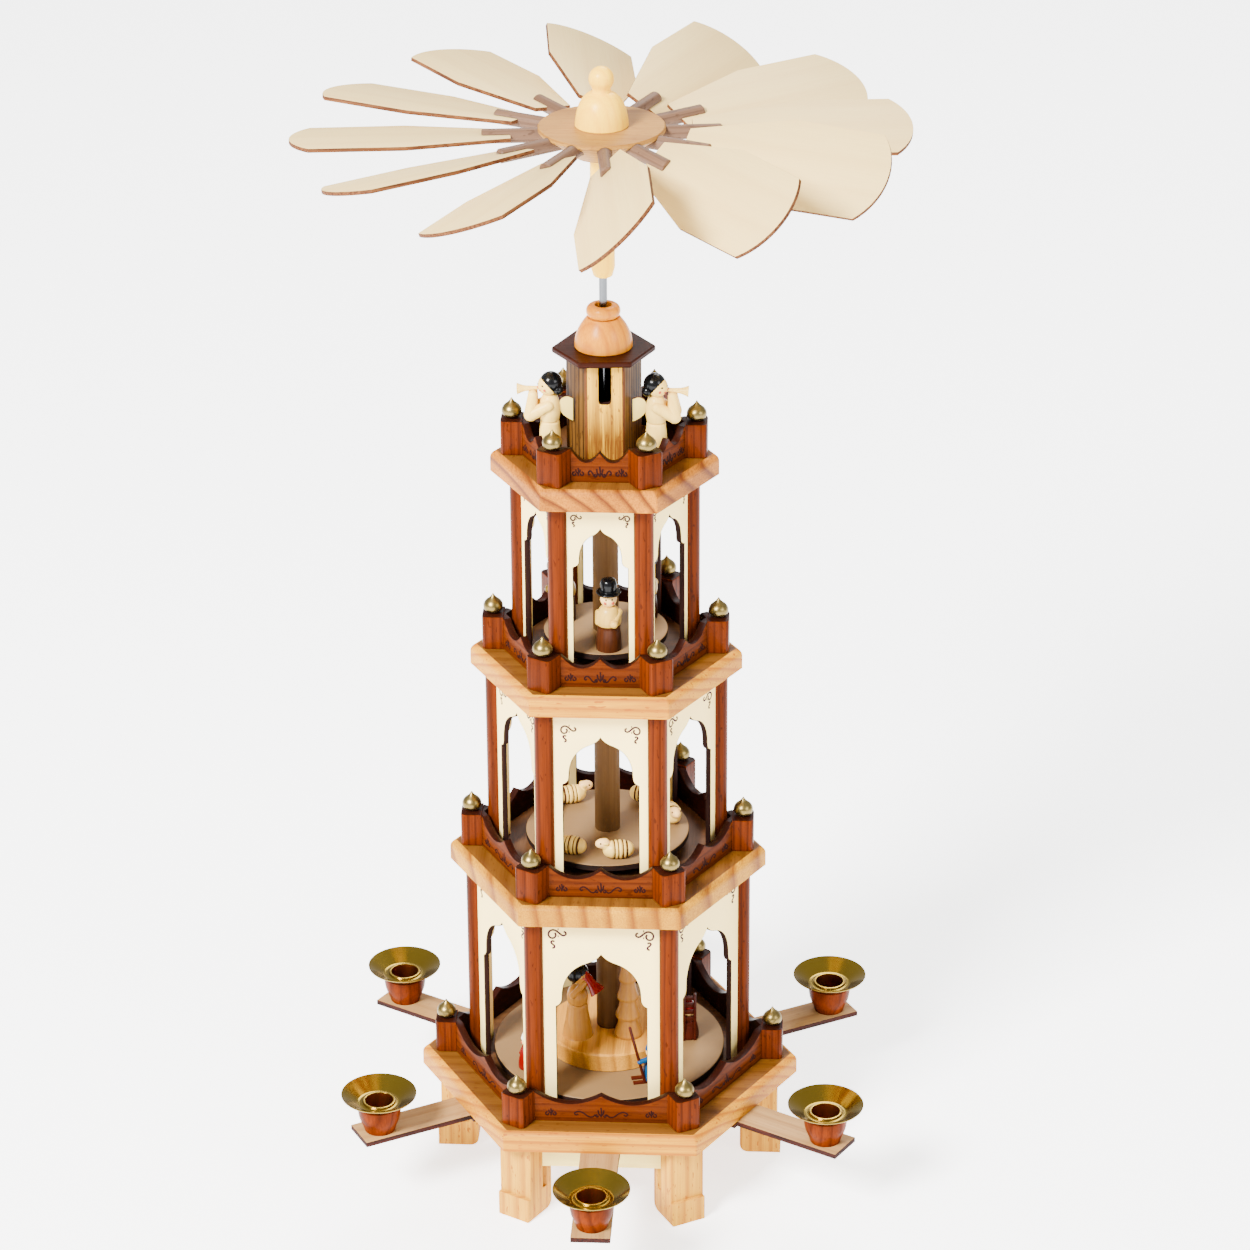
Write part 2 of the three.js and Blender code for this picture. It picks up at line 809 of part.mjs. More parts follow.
// A man in a round hat, facing +X, with one hand in front
function man() {
  const part = (share, height) => [share * manRadius, (height / 38.5) * manHeight];
  const body = turned(
    [
      part(0, -0.5),
      part(1, -0.5),
      part(0.8, 13.5),
      part(0.88, 18.5),
      part(0.5, 23.2),
      part(0.66, 28),
      part(0.6, 31),
      part(0.92, 31.4),
      part(0.92, 32.6),
      part(0.62, 33),
      part(0.55, 37.2),
      part(0, 38.5),
    ],
    figureSides,
  );
  const shoulder = (20 / 38.5) * manHeight;
  const hand = (16.5 / 38.5) * manHeight;
  const reach = 0.75 * manRadius;
  return join([
    body,
    bar([0, reach, shoulder], [1.25 * manRadius, 0.35 * manRadius, hand], 1.8, 2.2, figureSides),
  ]);
}

// A lying sheep facing +X with its head up
function sheep() {
  const stretch = sheepLength / 2 / sheepRadius;
  const headRadius = 0.62 * sheepRadius;
  return join([
    ball(sheepRadius, [0, 0, 0.92 * sheepRadius], [stretch, 1, 1]),
    ball(headRadius, [0.5 * sheepLength, 0, 1.6 * sheepRadius], [1.3, 0.9, 1]),
  ]);
}

// A doll in a long skirt with a red horn at her mouth, facing +X
function doll() {
  const part = (share, height) => [share * dollRadius, (height / 43) * dollHeight];
  const body = turned(
    [
      part(0, 0),
      part(1, 0),
      part(0.97, 3),
      part(0.74, 14),
      part(0.6, 19.4),
      part(0.7, 23.6),
      part(0.45, 28.5),
      part(0, 29.5),
    ],
    figureSides + 1,
  );
  const headRadius = 0.76 * dollRadius;
  const mouth = dollHeight - headRadius + 1.4;
  const arms = [-1, 1].map((side) =>
    bar([0, side * 0.6 * dollRadius, mouth - 13], [5.6, side * 1.4, mouth - 5], 2, 1.7),
  );
  return join([
    body,
    ball(headRadius, [0, 0, dollHeight - headRadius]),
    ...arms,
    bar([3.4, 0, mouth], [9, 0, mouth - 6.2], 2.2, 2.6),
    bar([8.8, 0, mouth - 6], [12.4, 0, mouth - 10], 2.6, 4.3, figureSides),
  ]);
}

// A turned tree of four tiers
function tree() {
  const tiers = 4;
  const tierHeight = treeHeight / (tiers + 0.35);
  const profile = [[0, 0]];
  for (let i = 0; i < tiers; i++) {
    const width = treeRadius * (1 - 0.12 * i);
    const bottom = i * tierHeight;
    profile.push([0.94 * width, bottom]);
    profile.push([width, bottom + 0.18 * tierHeight]);
    profile.push([0.7 * width, bottom + 0.75 * tierHeight]);
    if (i < tiers - 1) profile.push([0.62 * width, bottom + 0.98 * tierHeight]);
  }
  profile.push([0, treeHeight]);
  return turned(profile, figureSides + 2);
}

// A child in a coat and a pointed cap
function child() {
  const part = (share, height) => [share * childRadius, (height / 24) * childHeight];
  return turned(
    [
      part(0, 0),
      part(0.9, 0),
      part(1, 3),
      part(0.55, 12.5),
      part(0.72, 15.5),
      part(0.66, 18.5),
      part(0.3, 21.6),
      part(0, 24),
    ],
    figureSides,
  );
}

// A skier on two skis, leaning on a stick
function skier() {
  const skis = [-1, 1].map((side) => block(24, 2.4, 1.2, 1, side * 2.4, 0));
  const stick = bar([-3.8, -3.2, 0.4], [-9.6, -2, 34], 0.9, 0.9);
  return join([
    child().translate([0, 0, 1]),
    ...skis,
    stick,
    bar([0, -2, 15], [-6.2, -2.8, 14], 1.6, 1.3),
  ]);
}

// A child with a sledge stood up beside it
function sledgeChild() {
  const outline = new THREE.Shape();
  outline.moveTo(-3.6, 0);
  outline.lineTo(3.6, 0);
  outline.lineTo(3.6, 24);
  outline.quadraticCurveTo(3.2, 30, 0, 30);
  outline.quadraticCurveTo(-3.2, 30, -3.6, 24);
  const board = radialPlate(outline, 2.4).translate([0, -0.75 * childRadius, 0]);
  return child().add(board);
}

// The tree of pieces
const pyramid = new THREE.Group();
const stand = new THREE.Group();
const rotor = new THREE.Group();
pyramid.add(stand, rotor);

// A named piece at a height, turned about the vertical by an angle in degrees
function addPiece(parent, name, material, shape, height = 0, angle = 0) {
  const mesh = new THREE.Mesh(geometryOf(shape), material);
  mesh.name = name;
  mesh.position.z = height;
  mesh.rotation.z = angle * degree;
  parent.add(mesh);
  return mesh;
}

// Stand: base, platforms, galleries and arcades
addPiece(stand, "leg_frame", pine, legFrame());
levels.forEach((level, i) => {
  addPiece(stand, `platform_${i + 1}`, pine, platform(level), level.underside);
  addPiece(stand, `gallery_${i + 1}`, stainedWood, gallery(level), level.top);
  if (level.storeyHeight) {
    addPiece(stand, `arcade_${i + 1}`, ivoryWood, arcade(level), level.top);
  }
});
addPiece(stand, "bearing_cup", brass, bearingCup(), bearingBottom);

// Candle holders, one on each side of the base
const holders = [
  { place: "front", angle: -90, reach: frontReach },
  { place: "front_right", angle: -30, reach: sideReach },
  { place: "back_right", angle: 30, reach: sideReach },
  { place: "back", angle: 90, reach: frontReach },
  { place: "back_left", angle: 150, reach: sideReach },
  { place: "front_left", angle: -150, reach: sideReach },
];
for (const { place, angle, reach } of holders) {
  const tray = dripTray().translate([platformSide + reach, 0, 0]);
  addPiece(stand, `candle_arm_${place}`, plywood, candleArm(reach), legHeight, angle);
  addPiece(stand, `drip_tray_${place}`, brass, tray, legHeight, angle);
}

// Turret, roof, dome and the two angels beside the turret
const roof = plug(roofRadius, 0, roofThickness, sides);
const roofHole = bore(shaftRadius + shaftPassage, -1, roofThickness + 1);
const bush = ring(shaftBore, collarBore - slideGap, bushHeight);
const angelLeft = angel().rotate([0, 0, 180]).translate([-angelAside, -angelForward, 0]);
const angelRight = angel().translate([angelAside, -angelForward, 0]);
addPiece(stand, "turret", pine, turret(), summit.top, turretTurn);
addPiece(stand, "roof_plate", roofWood, roof.subtract(roofHole), roofBottom, turretTurn);
addPiece(stand, "dome", turnedWood, dome(), domeBottom);
addPiece(stand, "guide_bush", brass, bush, domeBottom);
addPiece(stand, "collar_ring", turnedWood, collar(), collarBottom);
addPiece(stand, "angel_left", figureWood, angelLeft, summit.top);
addPiece(stand, "angel_right", figureWood, angelRight, summit.top);

// Shaft and spindles
addPiece(rotor, "shaft", steel, shaft(), shaftBottom);
const storeys = [ground, middle, upper];
storeys.forEach((level, i) => {
  const bottom = level === ground ? stepTop : level.discTop;
  const top = level.top + level.storeyHeight - spindleHeadroom;
  addPiece(rotor, `spindle_${i + 1}`, spindleWood, ring(shaftBore, spindleRadius, top - bottom), bottom);
});

// Turntables, with the sheep on the second and the men on the third
const sheepRing = middle.discRadius - sheepRadius - 3.5;
const manRing = upper.discRadius - manRadius - 0.6;
const sheepPlaces = [
  { angle: -77, facing: 190 },
  { angle: -120, facing: 165 },
  { angle: 128, facing: 20 },
  { angle: 58, facing: -15 },
  { angle: 168, facing: 75 },
  { angle: 15, facing: -70 },
];
const manPlaces = [-83, 37, 157];
const flock = sheepPlaces.map(({ angle, facing }) =>
  standAt(sheep(), sheepRing, angle, discThickness, facing),
);
const men = manPlaces.map((angle) => standAt(man(), manRing, angle, discThickness));
const stepDisc = ring(shaftBore, stepRadius, stepThickness, discSides);
addPiece(rotor, "turntable_1", discPaint, turntable(ground), ground.discBottom);
addPiece(rotor, "turntable_2", discPaint, join([turntable(middle), ...flock]), middle.discBottom);
addPiece(rotor, "turntable_3", discPaint, join([turntable(upper), ...men]), upper.discBottom);
addPiece(rotor, "step_disc", pine, stepDisc, ground.discTop);

// Figures of the first storey: two on the step disc and three on the turntable beside it
const stepMiddle = (spindleRadius + stepRadius) / 2;
const besideSpindle = spindleRadius + treeRadius + 3 * slideGap;
const ledge = ground.discRadius - stepRadius;
const figures = [
  { name: "doll", shape: doll(), paint: figureWood, radius: stepMiddle, angle: -143, facing: -25 },
  { name: "tree", shape: tree(), paint: figureWood, radius: besideSpindle, angle: -45 },
  { name: "child", shape: child(), paint: redPaint, radius: stepRadius + 0.62 * ledge, angle: -144 },
  {
    name: "skier",
    shape: skier(),
    paint: bluePaint,
    radius: stepRadius + 0.43 * ledge,
    angle: -60,
    facing: 15,
  },
  {
    name: "sledge_child",
    shape: sledgeChild(),
    paint: brownPaint,
    radius: stepRadius + 0.33 * ledge,
    angle: 8,
  },
];
for (const { name, shape, paint, radius, angle, facing } of figures) {
  const height = name === "doll" || name === "tree" ? stepTop : ground.discTop;
  addPiece(rotor, name, paint, standAt(shape, radius, angle, 0, facing ?? angle), height);
}

// Wing wheel
addPiece(rotor, "hub_sleeve", plywood, hubSleeve(), sleeveBottom);
addPiece(rotor, "wing_hub", pine, wingHub(), hubBottom);
addPiece(rotor, "hub_knob", turnedWood, hubKnob(), hubTop);
bladePitch.forEach((pitch, i) => {
  const spoke = new THREE.Group();
  spoke.rotation.z = (firstBladeAngle - (i * 360) / bladePitch.length) * degree;
  spoke.position.z = pegHeight;
  rotor.add(spoke);
  const name = `paddle_${String(i + 1).padStart(2, "0")}`;
  addPiece(spoke, name, pegWood, paddle()).rotation.x = pitch * degree;
});

export default pyramid;
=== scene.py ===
"""The looks of a candle-driven Christmas pyramid, modelled piece by piece round its construction."""

import json
import math

import bmesh
import bpy
from bpy.props import FloatProperty, FloatVectorProperty, IntProperty, PointerProperty
from mathutils import Matrix, Vector


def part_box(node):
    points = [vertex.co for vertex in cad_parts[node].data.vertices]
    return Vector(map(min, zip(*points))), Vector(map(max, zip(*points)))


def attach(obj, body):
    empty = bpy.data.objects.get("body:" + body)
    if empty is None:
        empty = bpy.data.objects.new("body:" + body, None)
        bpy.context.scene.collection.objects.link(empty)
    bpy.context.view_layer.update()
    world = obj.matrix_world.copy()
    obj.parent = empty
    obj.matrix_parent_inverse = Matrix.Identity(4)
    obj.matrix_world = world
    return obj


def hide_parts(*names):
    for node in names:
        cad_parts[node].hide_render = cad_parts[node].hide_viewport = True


bl_info = {
    "name": "Christmas Pyramid",
    "version": (1, 0, 0),
    "blender": (4, 5, 0),
    "location": "3D View > Sidebar > Pyramid",
    "description": "Models the wood, brass and paint of a candle-driven Christmas pyramid",
    "category": "Add Mesh",
}

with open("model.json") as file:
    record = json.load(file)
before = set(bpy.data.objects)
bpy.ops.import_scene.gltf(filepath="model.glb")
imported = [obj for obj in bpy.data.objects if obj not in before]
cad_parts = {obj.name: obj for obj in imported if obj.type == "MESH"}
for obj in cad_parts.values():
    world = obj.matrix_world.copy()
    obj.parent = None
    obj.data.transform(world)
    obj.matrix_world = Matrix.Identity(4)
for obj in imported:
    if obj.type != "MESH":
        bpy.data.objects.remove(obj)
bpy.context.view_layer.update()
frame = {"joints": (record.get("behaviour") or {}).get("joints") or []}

# Profiles and places are written in millimetres and become metres when a piece is made
MM = 0.001
FLAT = math.cos(math.pi / 6)
SIDE_ANGLES = [60 * side for side in range(6)]

# In metres: places closer than this are the same, and a cutter with this bevel leaves sharp edges
SAME_PLACE = 0.01 * MM
SHARP_EDGE = 0.02 * MM

# Sizes of the platforms: the corners' rounding, the bore and the seat of the bearing cup
CORNER_ROUNDING = 1.2
BORE = 4.5
SEAT_RADIUS = 6.3
SEAT_DEPTH = 5

# Sizes of the galleries
POST_WIDTH = 14
POST_DEPTH = 11
POST_HEIGHT = 18
POST_ROUNDING = 3
FENCE_THICKNESS = 4
FENCE_SETBACK = 1.5
FENCE_HEIGHT = 17
FENCE_DIP = 10.6
FENCE_POINT = 15.6
FENCE_EDGE = 0.3
SCROLL_WIDTH = 0.9
PAINT_LIFT = 0.12
FINIAL_RADIUS = 5
FINIAL_HEIGHT = 10.4

# Sizes of the arcades; each arch has its jamb's width, its drop below the ceiling and its rise
DOWEL_RADIUS = 5
PANEL_THICKNESS = 3
SPRINGING_STEP = 3.1
ARCHES = {1: (6.2, 21.1, 30.6), 2: (4.3, 15.8, 26.5), 3: (2.7, 14.2, 20.8)}

# Painted flourish of each storey: its inset from the dowel, its drop below the ceiling and its scale
FLOURISHES = {1: (2.7, 7.0, 1.0), 2: (3.6, 9.4, 0.83), 3: (1.8, 6.7, 0.58)}

# Sizes of the base: leg, rail and candle arm
LEG_WIDTH = 19
LEG_DEPTH = 19.5
LEG_INSET = 10.2
LEG_ROUNDING = 5
PLINTH_HEIGHT = 13.5
PLINTH_STEP = 2
RAIL_INSET = 13.9
RAIL_THICKNESS = 3
RAIL_HEIGHT = 17
RAIL_TONGUE = 3
RAIL_SLOT = 13.5
RAIL_SLOT_HALF = 1.6
ARM_WIDTH = 20
ARM_THICKNESS = 2.8
ARM_TAIL = 26
ARM_NOSE = 12
STOP_LENGTH = 12
STOP_THICKNESS = 2
GAP = 0.3

# Where each candle arm points, in degrees
PLACES = {
    "front": -90, "front_right": -30, "back_right": 30, "back": 90, "back_left": 150, "front_left": -150,
}

# Sizes of the turret, which stands a little askew, of its roof and dome, and of where the angels stand
TURRET_RADIUS = 18.8
TURRET_BORE = 13
TURRET_EDGE = 0.9
TURRET_SLOT = 21.5
TURRET_SLOT_WIDTH = 6.3
TURRET_SLOT_ROUNDING = 1.6
TURRET_TURN = 5
ROOF_RADIUS = 25.65
ROOF_EDGE = 0.8
DOME_BORE = 4.2
BUSH_BORE = 2.25
DOME_NECK = 8.2
ANGEL_ASIDE = 26.2
ANGEL_FORWARD = 9
ANGEL_GLANCE = 38
ANGEL_WING = 1.6

# Sizes of the rotor, the heights of the turntables' upper sides, and the rings sheep and men stand on
TURNTABLE_TOPS = {1: 61.7, 2: 189.3, 3: 303.4}
DISC_THICKNESS = 3.5
ROTOR_BORE = 2.3
SPINDLE_RADIUS = 6.5
STEP_RADIUS = 33
SHEEP_RING = 33.5
SHEEP_GROOVES = (-4.2, -2.0, 0.2, 2.4)
MEN_RING = 23.95

# Sizes of the paddles and of their seats in the hub
PEG_RADIUS = 3.6
PEG_LENGTH = 38.5
PEG_ROOT = 19.3
PEG_DROP = 4.3
PEG_SLOT = 13.8
PEG_SEAT_RADIUS = 3.8
PEG_SEAT_DEPTH = 20
PEG_SEAT_MIDDLE = 29.2
BLADE_THICKNESS = 2
BLADE_OUTLINE = ((0, 10), (50.4, 23.8), (96.4, 23.4))
BLADE_LENGTH = 106

# Camera of the photograph: where it stands, what it faces and how it is rolled
CAMERA_AZIMUTH = 3.34
CAMERA_ELEVATION = 25.62
CAMERA_ROLL = -0.36
CAMERA_DISTANCE = 2276.7
CAMERA_TARGET_HEIGHT = 304.6
CAMERA_SHIFT = 9.65
CAMERA_LENS = 129.83

# Light of the studio: each lamp's name, place and size in metres, and its power in watts
LAMPS = (
    ("key", (-1.6, -2.2, 2.6), 1.0, 640),
    ("fill", (2.2, -1.6, 1.6), 1.2, 62),
    ("back", (0.4, 2.0, 2.4), 1.4, 90),
)
SKY_LIGHT = 0.98
FLOOR_GLOW = 2.4


def srgb(red, green, blue):
    """A colour from its 0 to 255 screen values, as linear light."""
    return tuple(
        (value / 255 / 12.92) if value <= 10 else ((value / 255 + 0.055) / 1.055) ** 2.4
        for value in (red, green, blue)
    )


def colour(name, description, *screen):
    """A colour that the user can change in the sidebar."""
    return FloatVectorProperty(
        name=name, description=description, subtype="COLOR", size=3, min=0, max=1,
        default=srgb(*screen),
    )


class PyramidColours(bpy.types.PropertyGroup):
    """The colours of the wood, paint and metal."""

    pine: colour("Pine", "Early wood of the platforms", 206, 144, 6)
    pine_ring: colour("Pine rings", "Late wood between the growth rings", 142, 72, 1)
    ply: colour("Plywood", "Face of the blades", 206, 178, 114)
    stain: colour("Stain", "Orange-brown stain of dowels and posts", 97, 36, 1)
    stain_dark: colour("Dark stain", "Stain that gathered in the grain", 34, 8, 1)
    ivory: colour("Ivory", "Paint of the arch panels", 255, 226, 144)
    # This scorched tone also covers the turret's bore and slot, where it is painted shade
    burnt: colour("Burnt edge", "Walls of the arches that a hot cutter left", 40, 16, 8)
    ornament: colour("Ornament", "Scrolls on the arch panels", 57, 28, 33)
    brass: colour("Brass", "Drip trays, guide bush and bearing cup", 133, 109, 37)
    gold: colour("Gold", "Onion finials", 126, 108, 62)
    greige: colour("Turntable paint", "Upper side of the turntables", 120, 92, 57)
    turned: colour("Turned wood", "Dome and collar", 214, 139, 4)
    peg: colour("Peg", "Pegs that hold the blades", 103, 76, 57)


def measure(name, description, default, low, high):
    """A size in millimetres that the user can change in the sidebar."""
    return FloatProperty(
        name=name, description=description, unit="LENGTH",
        default=default * MM, min=low * MM, max=high * MM,
    )


class PyramidSizes(bpy.types.PropertyGroup):
    """The sizes of the fine forms that the construction leaves out."""

    edge: measure("Broken edge", "Width of the bevel on legs and posts", 0.6, 0.1, 1.5)
    ply_edge: measure("Plywood edge", "Width of the bevel on thin plywood", 0.2, 0.05, 0.5)
    platform_round: measure("Platform edge", "Radius of the platforms' upper edge", 4, 1, 5)
    stroke: measure("Ornament stroke", "Width of the painted scroll lines", 1.2, 0.3, 1.5)
    facets: IntProperty(
        name="Facets", description="Facets round most turned pieces", default=48, min=16, max=128,
    )


def sizes():
    """The sizes set in the sidebar."""
    return bpy.context.scene.pyramid_sizes


def paints():
    """The colours set in the sidebar."""
    return bpy.context.scene.pyramid_colours


def node_box(node):
    """A node's lowest and highest corner in millimetres."""
    low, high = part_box(node)
    return low / MM, high / MM


def tall(node):
    """A node's height in millimetres."""
    low, high = node_box(node)
    return high.z - low.z


class Level:
    """The sizes of a platform and of the storey on it, read from the frame."""

    def __init__(self, number):
        low, high = node_box(f"platform_{number}")
        self.number = number
        self.radius = high.x
        self.bottom = low.z
        self.top = high.z
        self.posts = node_box(f"gallery_{number}")[1].x - POST_DEPTH / 2
        self.fence = self.posts * FLAT - FENCE_SETBACK
        if number in ARCHES:
            arcade = node_box(f"arcade_{number}")[1]
            self.dowels = arcade.x - DOWEL_RADIUS
            self.height = arcade.z - self.top
            self.jamb, self.drop, self.rise = ARCHES[number]


LEVELS = [Level(number) for number in (1, 2, 3, 4)]

# Heights in metres between which the painted shadow at the turret's foot fades out
TURRET_FOOT_PAINTED_SHADE = [(LEVELS[3].top + lift) * MM for lift in (12, 36)]


# Finishes
class Finish:
    """A material whose shader nodes are added one after the other."""

    def __init__(self, name, base, roughness, metallic=0.0, coat=0.0, shine=0.14):
        self.material = bpy.data.materials.new(name)
        self.material.use_nodes = True
        self.tree = self.material.node_tree
        self.shader = self.tree.nodes["Principled BSDF"]
        for socket, value in (
            ("Base Color", (*base, 1)), ("Roughness", roughness), ("Metallic", metallic),
            ("Specular IOR Level", shine), ("Coat Weight", coat), ("Coat Roughness", 0.25),
        ):
            self.shader.inputs[socket].default_value = value

    def add(self, kind, settings=None, **inputs):
        """A node with its settings, and its inputs set to values or linked to sockets."""
        node = self.tree.nodes.new("ShaderNode" + kind)
        for key, value in (settings or {}).items():
            setattr(node, key, value)
        for key, value in inputs.items():
            self.feed(node.inputs[key.replace("_", " ")], value)
        return node

    def feed(self, socket, value):
        """Links a socket to another one, or sets it to a value or a colour."""
        if isinstance(value, bpy.types.NodeSocket):
            self.tree.links.new(value, socket)
        elif socket.type == "RGBA":
            socket.default_value = (*value, 1)
        else:
            socket.default_value = value

    def grain(self, scale, shift=(0, 0, 0)):
        """The piece's own grain coordinates, whose X runs along the fibre, scaled per axis."""
        place = self.add("Attribute", {"attribute_name": "grain"})
        moved = self.add("Mapping", Vector=place.outputs["Vector"], Location=shift, Scale=scale)
        return moved.outputs["Vector"]

    def noise(self, vector, detail):
        """A noise value at a vector."""
        return self.add("TexNoise", Vector=vector, Scale=1, Detail=detail, Roughness=0.55).outputs["Fac"]

    def ramp(self, factor, *stops):
        """A colour ramp from (position, colour) pairs."""
        node = self.add("ValToRGB", Fac=factor)
        elements = node.color_ramp.elements
        while len(elements) < len(stops):
            elements.new(0.5)
        for element, (position, tone) in zip(elements, stops):
            element.position = position
            element.color = (*tone, 1)
        return node.outputs["Color"]

    def mix(self, factor, first, second):
        """Two colours mixed by a factor."""
        node = self.add("Mix", {"data_type": "RGBA", "clamp_factor": True})
        self.feed(node.inputs[0], factor)
        self.feed(node.inputs[6], first)
        self.feed(node.inputs[7], second)
        return node.outputs[2]

    def times(self, first, second):
        """The product of two values."""
        node = self.add("Math", {"operation": "MULTIPLY"})
        self.feed(node.inputs[0], first)
        self.feed(node.inputs[1], second)
        return node.outputs[0]

    def span(self, value, low, high, start=0.0, end=1.0):
        """A value between start and end spread from low to high."""
        node = self.add("MapRange", Value=value, From_Min=start, From_Max=end, To_Min=low, To_Max=high)
        return node.outputs["Result"]

    def paint(self, tone=None, roughness=None, height=None, depth=0.0002, strength=0.5):
        """Links the colour, roughness and bump of the finish, and returns its material."""
        if tone is not None:
            self.tree.links.new(tone, self.shader.inputs["Base Color"])
        if roughness is not None:
            self.tree.links.new(roughness, self.shader.inputs["Roughness"])
        if height is not None:
            bump = self.add("Bump", Height=height, Distance=depth, Strength=strength)
            self.tree.links.new(bump.outputs["Normal"], self.shader.inputs["Normal"])
        return self.material


def wood(name, light, dark, ring=3.0, contrast=0.5, fleck=0.3, pith=(0, 0.03, 0.05), roughness=0.5,
         coat=0.0, wobble=2.0, shine=0.12, foot=None):
    """Wood with growth rings round a pith, fine fibres, short dark flecks and, if asked, a foot darkened with
    painted shadow.
    """
    finish = Finish(name, light, roughness, coat=coat, shine=shine)
    rings = finish.add(
        "TexWave",
        {"wave_type": "RINGS", "rings_direction": "X", "wave_profile": "SAW"},
        Vector=finish.grain((0.12, 1, 1), pith),
        Scale=0.314 / (ring * MM),
        Distortion=wobble,
        Detail=2.0,
        Detail_Scale=0.35,
        Detail_Roughness=0.6,
    ).outputs["Fac"]
    late = finish.ramp(rings, (0.0, (0, 0, 0)), (0.5, (0.1,) * 3), (0.85, (1, 1, 1)), (1.0, (0.2,) * 3))
    fibre = finish.noise(finish.grain((45, 1500, 1500)), detail=3)
    cloud = finish.noise(finish.grain((9, 40, 40)), detail=3)
    flecks = finish.noise(finish.grain((220, 700, 700)), detail=1)
    speck = finish.ramp(flecks, (0.66, (0, 0, 0)), (0.7, (1, 1, 1)))
    between = finish.mix(contrast, light, dark)
    ringed = finish.mix(late, light, between)
    drifting = finish.mix(finish.span(cloud, 0.0, 0.6, 0.3, 0.7), ringed, between)
    streaked = finish.mix(finish.span(fibre, 0.0, 0.7 * contrast, 0.35, 0.75), drifting, dark)
    tone = finish.mix(finish.times(speck, fleck), streaked, dark)
    # Painted shadow: the wood is darkest at the first height in foot and fades out by the second, where the
    # fence shades the turret
    if foot:
        parts = finish.add("SeparateXYZ", Vector=finish.add("TexCoord").outputs["Object"])
        painted_foot_shade = finish.span(parts.outputs["Z"], 1.0, 0.0, *foot)
        tone = finish.mix(finish.times(painted_foot_shade, finish.span(fibre, 0.55, 1.0, 0.35, 0.55)), tone, dark)
    return finish.paint(tone, finish.span(fibre, roughness - 0.08, roughness + 0.1), fibre, 0.00015, 0.35)


def burnt_wood(name, tone, darker):
    """The edge of plywood that a hot cutter scorched, with its layers."""
    finish = Finish(name, tone, 0.75)
    layers = finish.noise(finish.grain((60, 900, 900)), detail=2)
    return finish.paint(finish.ramp(layers, (0.35, darker), (0.65, tone)), None, layers, 0.0001, 0.4)


def lacquer(name, tone, shade, roughness, coat):
    """Paint over wood: an even colour with faint brush marks and darker drifts."""
    finish = Finish(name, tone, roughness, coat=coat, shine=0.1)
    drift = finish.noise(finish.grain((25, 60, 60)), detail=4)
    marks = finish.noise(finish.grain((120, 900, 900)), detail=2)
    mixed = finish.mix(finish.span(drift, 0.0, 0.3), tone, shade)
    return finish.paint(mixed, finish.span(marks, roughness - 0.05, roughness + 0.08), marks, 0.00008, 0.25)


def metal(name, tone, shade, roughness):
    """Spun or drawn metal with fine marks round its axis and slight tarnish."""
    finish = Finish(name, tone, roughness, metallic=1.0)
    marks = finish.add(
        "TexWave",
        {"wave_type": "RINGS", "rings_direction": "Z"},
        Vector=finish.grain((1, 1, 1)),
        Scale=900,
        Distortion=3.0,
        Detail=2.0,
    ).outputs["Fac"]
    tarnish = finish.noise(finish.grain((70, 70, 70)), detail=4)
    mixed = finish.mix(finish.span(tarnish, 0.0, 0.55), tone, shade)
    return finish.paint(mixed, finish.span(tarnish, roughness - 0.05, roughness + 0.12), marks, 0.00003, 0.15)


# What the woods of the figures share
CARVED = dict(ring=2.6, contrast=0.3, fleck=0.1, roughness=0.3, coat=0.08)

